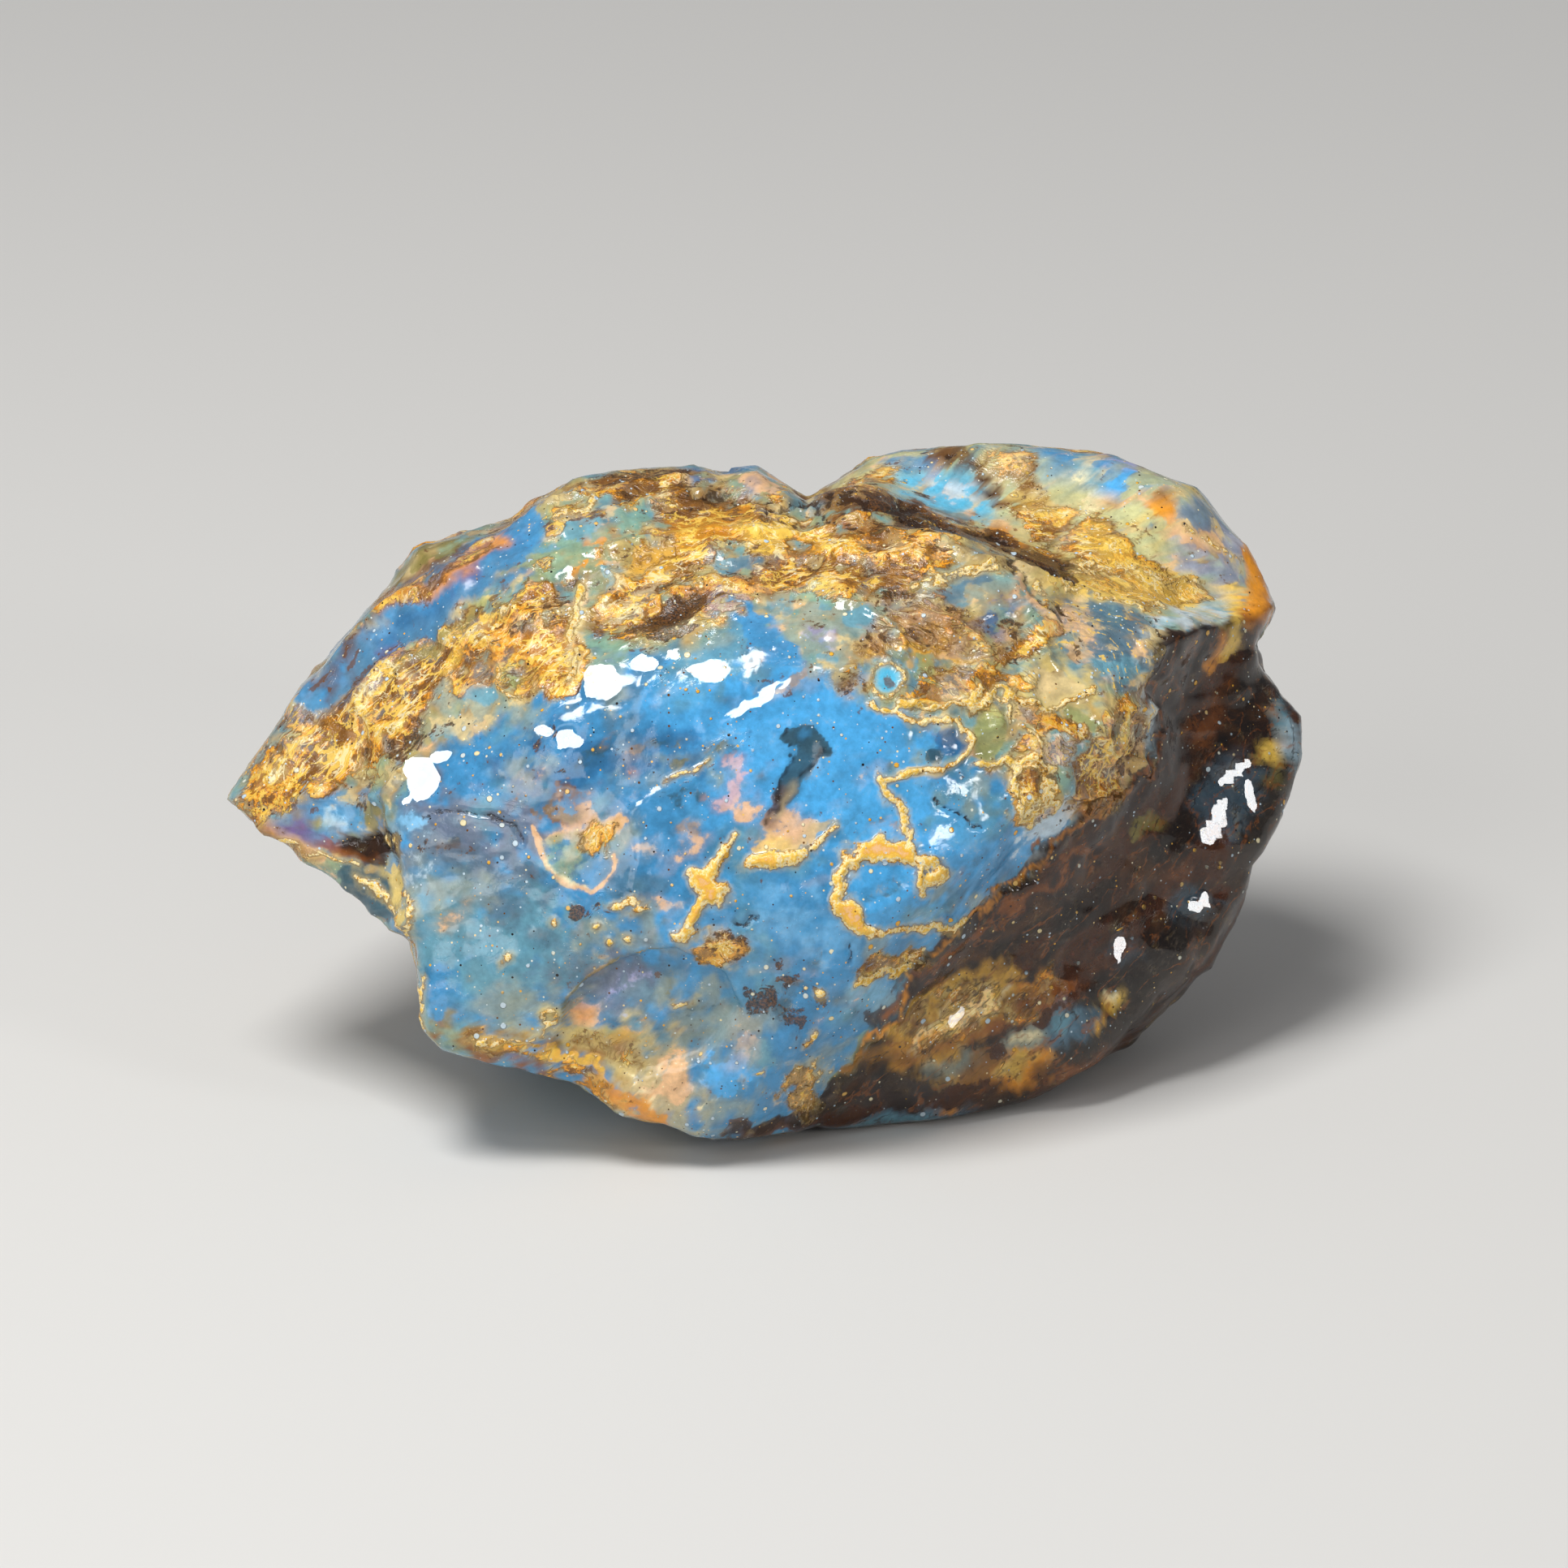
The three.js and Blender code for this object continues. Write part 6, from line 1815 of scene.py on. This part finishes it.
@dataclass(frozen=True)
class BlueAmberFinish:
    """Blue amber as dug: fossil resin, milky blue in strong light, with a golden mineral crust.

    Its broken faces shine like wet glass, the crust is duller, and clear resin shows brown in its depth.
    """

    name: str = "blue_amber_fossil_resin"
    ior: float = 1.54
    clear_share: float = 0.8
    milk_share: float = 0.1
    absorption: str = "#E4944A"
    density: float = 1100.0
    strand_rise: float = 0.06
    crust_grit: float = 0.03
    resin_ripple: float = 0.008
    vein_rise: float = 0.1
    bead_rise: float = 0.05
    layer_rise: float = 0.012
    seam_rise: float = 0.04
    crack_drop: float = 0.06

    def build(self) -> bpy.types.Material:
        """Makes the material.

        Returns:
            The material, which reads Object coordinates and the skin's named values.
        """
        material = bpy.data.materials.new(self.name)
        material.use_nodes = True
        material.node_tree.nodes.clear()
        layers = Layers(material.node_tree)
        layers.read()
        layers.milk()
        layers.grain()
        layers.crust()
        layers.film()
        layers.veins()
        layers.beads()
        self.surface(layers)
        return material

    def surface(self, layers: Layers) -> None:
        """Joins the layers in one shader: see-through where clear resin is bare, wet where freshly broken.

        Args:
            layers: the layers, all laid.
        """
        covered = layers.add("ShaderNodeMath", {0: "gilded", 1: "soiled"}, operation="MAXIMUM")
        covered = layers.add("ShaderNodeMath", {0: covered, 1: "veined"}, operation="MAXIMUM")
        bare = layers.level(((covered, 0.95), ("share", 0.6)), 0.0, 1.0, 1.0, 0.0)
        depth = layers.weigh((("clear", self.clear_share), ("milk", self.milk_share)))
        through = layers.add("ShaderNodeMath", {0: depth, 1: bare}, operation="MULTIPLY")
        rough = layers.weigh(
            (
                (layers.level((("wide", 1.0),), 0.3, 0.7, 0.06, 0.16), 1.0), (covered, 0.08),
                ("soiled", 0.1), ("wet", -0.08),
            )
        )
        rubble = layers.add("ShaderNodeMath", {0: "grit", 1: covered}, operation="MULTIPLY")
        heights = layers.weigh(
            (
                (layers.level((("gilt", 1.0),), 1.1, 1.6), self.strand_rise * MM),
                (rubble, self.crust_grit * MM),
                ("fine", self.resin_ripple * MM),
                (layers.level((("depth", 1.0),), -0.1, 0.3), self.vein_rise * MM),
                ("bead", self.bead_rise * MM),
                ("layer", self.layer_rise * MM),
                ("seamed", self.seam_rise * MM),
                ("cracked", -self.crack_drop * MM),
            )
        )
        bump = layers.add("ShaderNodeBump", {"Strength": 1.0, "Distance": 1.0, "Height": heights})
        facet = layers.level((("wet", 1.0), ("tear", 0.7)), 0.88, 0.96)
        ways = {MIX_SHARE: facet, WAY_UNDER: bump, WAY_OVER: "looks"}
        looks = layers.add("ShaderNodeMix", ways, data_type="VECTOR")
        looks = layers.add("ShaderNodeVectorMath", {0: looks}, operation="NORMALIZE")
        shader = layers.add(
            "ShaderNodeBsdfPrincipled",
            {
                "Base Color": layers.colour, "Roughness": rough, "IOR": self.ior,
                "Transmission Weight": through, "Normal": looks,
            },
        )
        tinting = {"Color": (*linear(self.absorption), 1.0), "Density": self.density}
        depths = layers.add("ShaderNodeVolumeAbsorption", tinting)
        layers.add("ShaderNodeOutputMaterial", {"Surface": shader, "Volume": depths})


@dataclass
class AmberLump:
    """The whole lump: one closed skin with its marks and relief."""

    form: Form = field(default_factory=Form)
    grid: BoxGrid = field(default_factory=BoxGrid)
    relief: Relief = field(default_factory=Relief)
    finish: BlueAmberFinish = field(default_factory=BlueAmberFinish)
    margin: float = 2.0

    def build(self) -> bpy.types.Object:
        """Makes the lump's skin.

        Returns:
            The object, standing where the frame has the lump.
        """
        directions, quads, places = self.grid.build()
        bare = self.form.skin(directions)
        normals = self.form.normals(bare)
        bare = Rim(self.form).draw(bare)
        zones = Zones.over(bare, normals)
        painter = Painter(bare, zones)
        painter.ground()
        painter.lay(MARKS)
        height, crests, wet, looks = self.relief.height(bare, normals, zones, painter.coats)
        height *= softstep(0.0, 1.2, self.form.height(bare))
        skin = self.form.upright(bare + normals * height[:, None])
        skin[:, 2] = np.maximum(skin[:, 2], 0.0)
        lump = self.mesh(self.fit(skin), quads, places)
        values = {coat.value: painter.coats[coat] for coat in Coat}
        grain, grained = self.relief.grain(bare)
        values |= {"clear": zones.clear, "milk": zones.milk, "crest": crests, "cover": painter.cover}
        values |= {"grain": grain, "grained": grained * zones.front * (1 - zones.clear), "wet": wet}
        for name, numbers in values.items():
            store = lump.data.attributes.new(name, "FLOAT", "POINT")
            store.data.foreach_set("value", numbers.astype(np.float32))
        for name, colours in {"under": painter.under, "over": painter.over_colours()}.items():
            store = lump.data.attributes.new(name, "FLOAT_COLOR", "POINT")
            with_alpha = np.concatenate([colours, np.ones((len(bare), 1))], 1)
            store.data.foreach_set("color", with_alpha.astype(np.float32).ravel())
        lengthwise = stretched(bare, FLANK_BEARING, GRAIN_STRETCH)
        streams = np.where((zones.clear > 0.5)[:, None], lengthwise, flow(bare))
        resting = self.form.upright(np.zeros((1, 3)))
        for name, vectors in {"flow": streams, "looks": self.form.upright(looks) - resting}.items():
            store = lump.data.attributes.new(name, "FLOAT_VECTOR", "POINT")
            store.data.foreach_set("vector", vectors.astype(np.float32).ravel())
        lump.data.materials.append(self.finish.build())
        return lump

    @staticmethod
    def fit(skin: Array) -> Array:
        """Brings the skin's box onto the lump's box in the frame: a shift and a stretch along each axis.

        Args:
            skin: upright points in mm.

        Returns:
            Points in metres in the frame.
        """
        low, high = (np.array(corner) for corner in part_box(NODE))
        share = (skin - skin.min(0)) / (skin.max(0) - skin.min(0))
        return low + share * (high - low)

    @staticmethod
    def mesh(points: Array, quads: Array, places: Array) -> bpy.types.Object:
        """Puts the skin into a mesh with its flat atlas.

        Args:
            points: places in metres.
            quads: rows of four point numbers.
            places: atlas place of each quad corner.

        Returns:
            The object.
        """
        mesh = bpy.data.meshes.new("amber_lump_skin")
        mesh.from_pydata(points, [], quads.tolist())
        atlas = mesh.uv_layers.new(name="OFBake")
        atlas.data.foreach_set("uv", places.astype(np.float32).ravel())
        mesh.polygons.foreach_set("use_smooth", np.ones(len(quads), bool))
        lump = bpy.data.objects.new("amber_lump_skin", mesh)
        bpy.context.scene.collection.objects.link(lump)
        return lump


@dataclass(frozen=True)
class SealedFinish:
    """What is sealed in the clear resin: one colour each, dull as old leaf, or pale for an air bubble,
    painted as the glint that a bubble reflects.
    """

    name: str
    tint: Tint
    roughness: float

    def build(self) -> bpy.types.Material:
        """Makes the material.

        Returns:
            The material. Its grains run pale to dark, so that no two crumbs look alike.
        """
        material = bpy.data.materials.new(self.name)
        material.use_nodes = True
        material.node_tree.nodes.clear()
        layers = Layers(material.node_tree)
        place = layers.add("ShaderNodeTexCoord", {}).node.outputs["Object"]
        noise = layers.add("ShaderNodeTexNoise", {"Vector": place, "Scale": 1 / (1.2 * MM), "Detail": 3.0})
        run = layers.add("ShaderNodeValToRGB", {0: noise}, ((0.35, BARK), (0.5, self.tint), (0.7, CREAM)))
        shader = layers.add("ShaderNodeBsdfPrincipled", {"Base Color": run, "Roughness": self.roughness})
        layers.add("ShaderNodeOutputMaterial", {"Surface": shader})
        return material


@dataclass(frozen=True)
class Sealed:
    """Small things sealed under the clear resin's skin, each a rounded body at its own depth."""

    name: str
    finish: SealedFinish
    count: int
    radius: tuple[float, float]
    flatness: float
    depth: tuple[float, float] = (0.15, 0.9)
    clearest: float = 0.97
    rings: int = 6
    spokes: int = 8
    seed: int = 7

    def ball(self) -> Array:
        """Shapes one body as a flattened sphere: over (turn, rise), cos rise times (cos turn, sin turn) in
        its plane, and the flatness times sin rise out of it.

        Returns:
            Its points, row by row, and then its two ends.
        """
        turns = np.arange(self.spokes) / self.spokes * 2 * np.pi
        rises = (np.arange(1, self.rings) / self.rings - 0.5) * np.pi
        turn, rise = np.meshgrid(turns, rises)
        ball = np.stack((np.cos(rise) * np.cos(turn), np.cos(rise) * np.sin(turn), np.sin(rise)), -1)
        ends = ((0.0, 0.0, -1.0), (0.0, 0.0, 1.0))
        return np.concatenate((ball.reshape(-1, 3), ends)) * (1.0, 1.0, self.flatness)

    def middles(self, margin: float, skin: bpy.types.Object, draw: np.random.Generator) -> Array:
        """Draws where the bodies float, in metres: below points of the clear resin's skin.

        Args:
            margin: height in mm over the floor from which bodies are placed.
            skin: the lump's finished skin.
            draw: where the random numbers come from.

        Returns:
            One place a body.
        """
        places = np.empty(len(skin.data.vertices) * 3, np.float32)
        skin.data.vertices.foreach_get("co", places)
        outward = np.empty_like(places)
        skin.data.vertices.foreach_get("normal", outward)
        clear = np.empty(len(skin.data.vertices), np.float32)
        skin.data.attributes["clear"].data.foreach_get("value", clear)
        places, outward = places.reshape(-1, 3), outward.reshape(-1, 3)
        inside = np.flatnonzero((clear > self.clearest) & (places[:, 2] > margin * MM))
        picked = draw.choice(inside, self.count, replace=False)
        depth = draw.uniform(*self.depth, self.count)[:, None] * MM
        return places[picked] - outward[picked] * depth

    def build(self, lump: "AmberLump", skin: bpy.types.Object) -> bpy.types.Object:
        """Makes all the bodies as one mesh, each a flattened sphere leaned at random.

        Args:
            lump: the lump, which knows how far its sealed things stay off the floor.
            skin: the lump's finished skin.

        Returns:
            The object.
        """
        draw = np.random.default_rng(self.seed)
        middles = self.middles(lump.margin, skin, draw)
        radius = self.radius[0] + (self.radius[1] - self.radius[0]) * draw.random(self.count) ** 3
        ball = self.ball()
        leans = np.linalg.qr(draw.normal(size=(self.count, 3, 3)))[0]
        bodies = np.einsum("kij,nj->kni", leans, ball) * (radius * MM)[:, None, None] + middles[:, None, :]
        faces = self.faces(len(ball))
        wound = np.where((np.linalg.det(leans) > 0)[:, None, None], faces, faces[:, ::-1])
        wound = wound + (np.arange(self.count) * len(ball))[:, None, None]
        mesh = bpy.data.meshes.new(self.name)
        corners = [tuple(dict.fromkeys(row)) for row in wound.reshape(-1, 4).tolist()]
        mesh.from_pydata(bodies.reshape(-1, 3), [], corners)
        mesh.polygons.foreach_set("use_smooth", np.ones(len(mesh.polygons), bool))
        mesh.materials.append(self.finish.build())
        body = bpy.data.objects.new(self.name, mesh)
        bpy.context.scene.collection.objects.link(body)
        return body

    def faces(self, count: int) -> Array:
        """Joins one body's points up.

        Args:
            count: how many points it has.

        Returns:
            Rows of four point numbers, facing outward; the rows at its ends name the end point twice.
        """
        rows, spokes = np.meshgrid(np.arange(self.rings), np.arange(self.spokes), indexing="ij")
        after = (spokes + 1) % self.spokes
        low = (rows - 1) * self.spokes
        high = rows * self.spokes
        low_left = np.where(rows == 0, count - 2, low + spokes)
        low_right = np.where(rows == 0, count - 2, low + after)
        high_left = np.where(rows == self.rings - 1, count - 1, high + spokes)
        high_right = np.where(rows == self.rings - 1, count - 1, high + after)
        return np.stack((low_left, low_right, high_right, high_left), -1).reshape(-1, 4)


SEALED = (
    Sealed("sealed_leaf_crumbs", SealedFinish("sealed_leaf_crumb", GOLD, 0.5), 260, (0.05, 0.32), 0.25),
    # The air bubbles are pale and opaque: a painted glint for the light that bubbles reflect.
    Sealed(
        "sealed_air_bubbles", SealedFinish("sealed_air_bubble", ICE, 0.1), 90, (0.04, 0.16), 1.0, seed=11
    ),
)


@dataclass(frozen=True)
class Studio:
    """Pale floor, soft lights and the camera."""

    floor_half: float = 1.5
    floor_tint: str = "#D8D6D2"
    floor_roughness: float = 0.8
    sky: tuple[float, float, float] = (0.8, 0.82, 0.86)
    sky_strength: float = 0.24
    lit_height: float = 0.013
    camera_away: float = 0.7
    view_width: float = 0.0726
    aim: tuple[float, float] = (0.8, -0.12)
    sensor: float = 36.0

    def floor(self) -> bpy.types.Object:
        """Lays a flat pale floor under the lump.

        Returns:
            The floor.
        """
        half = self.floor_half
        mesh = bpy.data.meshes.new("floor")
        corners = [(-half, -half, 0), (half, -half, 0), (half, half, 0), (-half, half, 0)]
        mesh.from_pydata(corners, [], [(0, 1, 2, 3)])
        material = bpy.data.materials.new("pale_matt_card")
        material.use_nodes = True
        shader = material.node_tree.nodes["Principled BSDF"]
        shader.inputs["Base Color"].default_value = (*linear(self.floor_tint), 1.0)
        shader.inputs["Roughness"].default_value = self.floor_roughness
        mesh.materials.append(material)
        floor = bpy.data.objects.new("floor", mesh)
        bpy.context.scene.collection.objects.link(floor)
        return floor

    def light(
        self, name: str, place: tuple[float, float, float], size: float, power: float
    ) -> bpy.types.Object:
        """A square soft light that faces the lump.

        Args:
            name: what the light is for.
            place: where it hangs, in metres.
            size: its side in metres.
            power: its power in watts.

        Returns:
            The light.
        """
        data = bpy.data.lights.new(name, "AREA")
        data.size = size
        data.energy = power
        light = bpy.data.objects.new(name, data)
        light.location = place
        ray = Vector((0, 0, self.lit_height)) - Vector(place)
        light.rotation_euler = ray.to_track_quat("-Z", "Y").to_euler()
        bpy.context.scene.collection.objects.link(light)
        return light

    def world(self) -> None:
        """An even pale surrounding."""
        world = bpy.data.worlds.new("studio")
        world.use_nodes = True
        shade = world.node_tree.nodes["Background"]
        shade.inputs["Color"].default_value = (*self.sky, 1.0)
        shade.inputs["Strength"].default_value = self.sky_strength
        bpy.context.scene.world = world

    def camera(self, form: Form) -> bpy.types.Object:
        """A long lens, square on to the main face.

        Args:
            form: the lump's form, for its lean and heart.

        Returns:
            The camera.
        """
        low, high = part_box(NODE)
        middle = (low + high) / 2
        lean = np.radians(form.face_lean)
        out = Vector((0, -np.cos(lean), np.sin(lean)))
        up = Vector((0, np.sin(lean), np.cos(lean)))
        heart = Vector((middle.x, middle.y, form.rest_drop * MM))
        target = heart + Vector((self.aim[0] * MM, 0, 0)) + up * (self.aim[1] * MM)
        data = bpy.data.cameras.new("camera")
        data.sensor_width = self.sensor
        data.lens = self.sensor * self.camera_away / self.view_width
        camera = bpy.data.objects.new("camera", data)
        camera.location = target + out * self.camera_away
        camera.rotation_euler = out.to_track_quat("Z", "Y").to_euler()
        bpy.context.scene.collection.objects.link(camera)
        bpy.context.scene.camera = camera
        return camera

    def build(self, form: Form) -> None:
        """Sets up the floor, lights, surrounding and camera.

        Args:
            form: the lump's form, which the camera looks at squarely.
        """
        self.floor()
        self.world()
        self.light("overhead", (-0.1, -0.10, 0.35), 0.14, 1.2)
        self.light("front_left", (-0.45, -0.7, 0.45), 0.5, 2.0)
        self.light("front_right", (0.6, -0.5, 0.3), 0.12, 0.85)
        self.camera(form)
        bpy.context.scene.view_settings.view_transform = "Standard"


def main() -> None:
    """Builds the lump and its studio, and notes the sizes."""
    logging.basicConfig(level=logging.INFO, format="%(message)s")
    lump = AmberLump()
    skin = lump.build()
    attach(skin, "root")
    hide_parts(NODE)
    LOG.info("%s: %d points, %d quads", skin.name, len(skin.data.vertices), len(skin.data.polygons))
    for sealed in SEALED:
        bits = sealed.build(lump, skin)
        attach(bits, "root")
        LOG.info("%s: %d bodies", bits.name, sealed.count)
    Studio().build(lump.form)


if __name__ == "__main__":
    main()
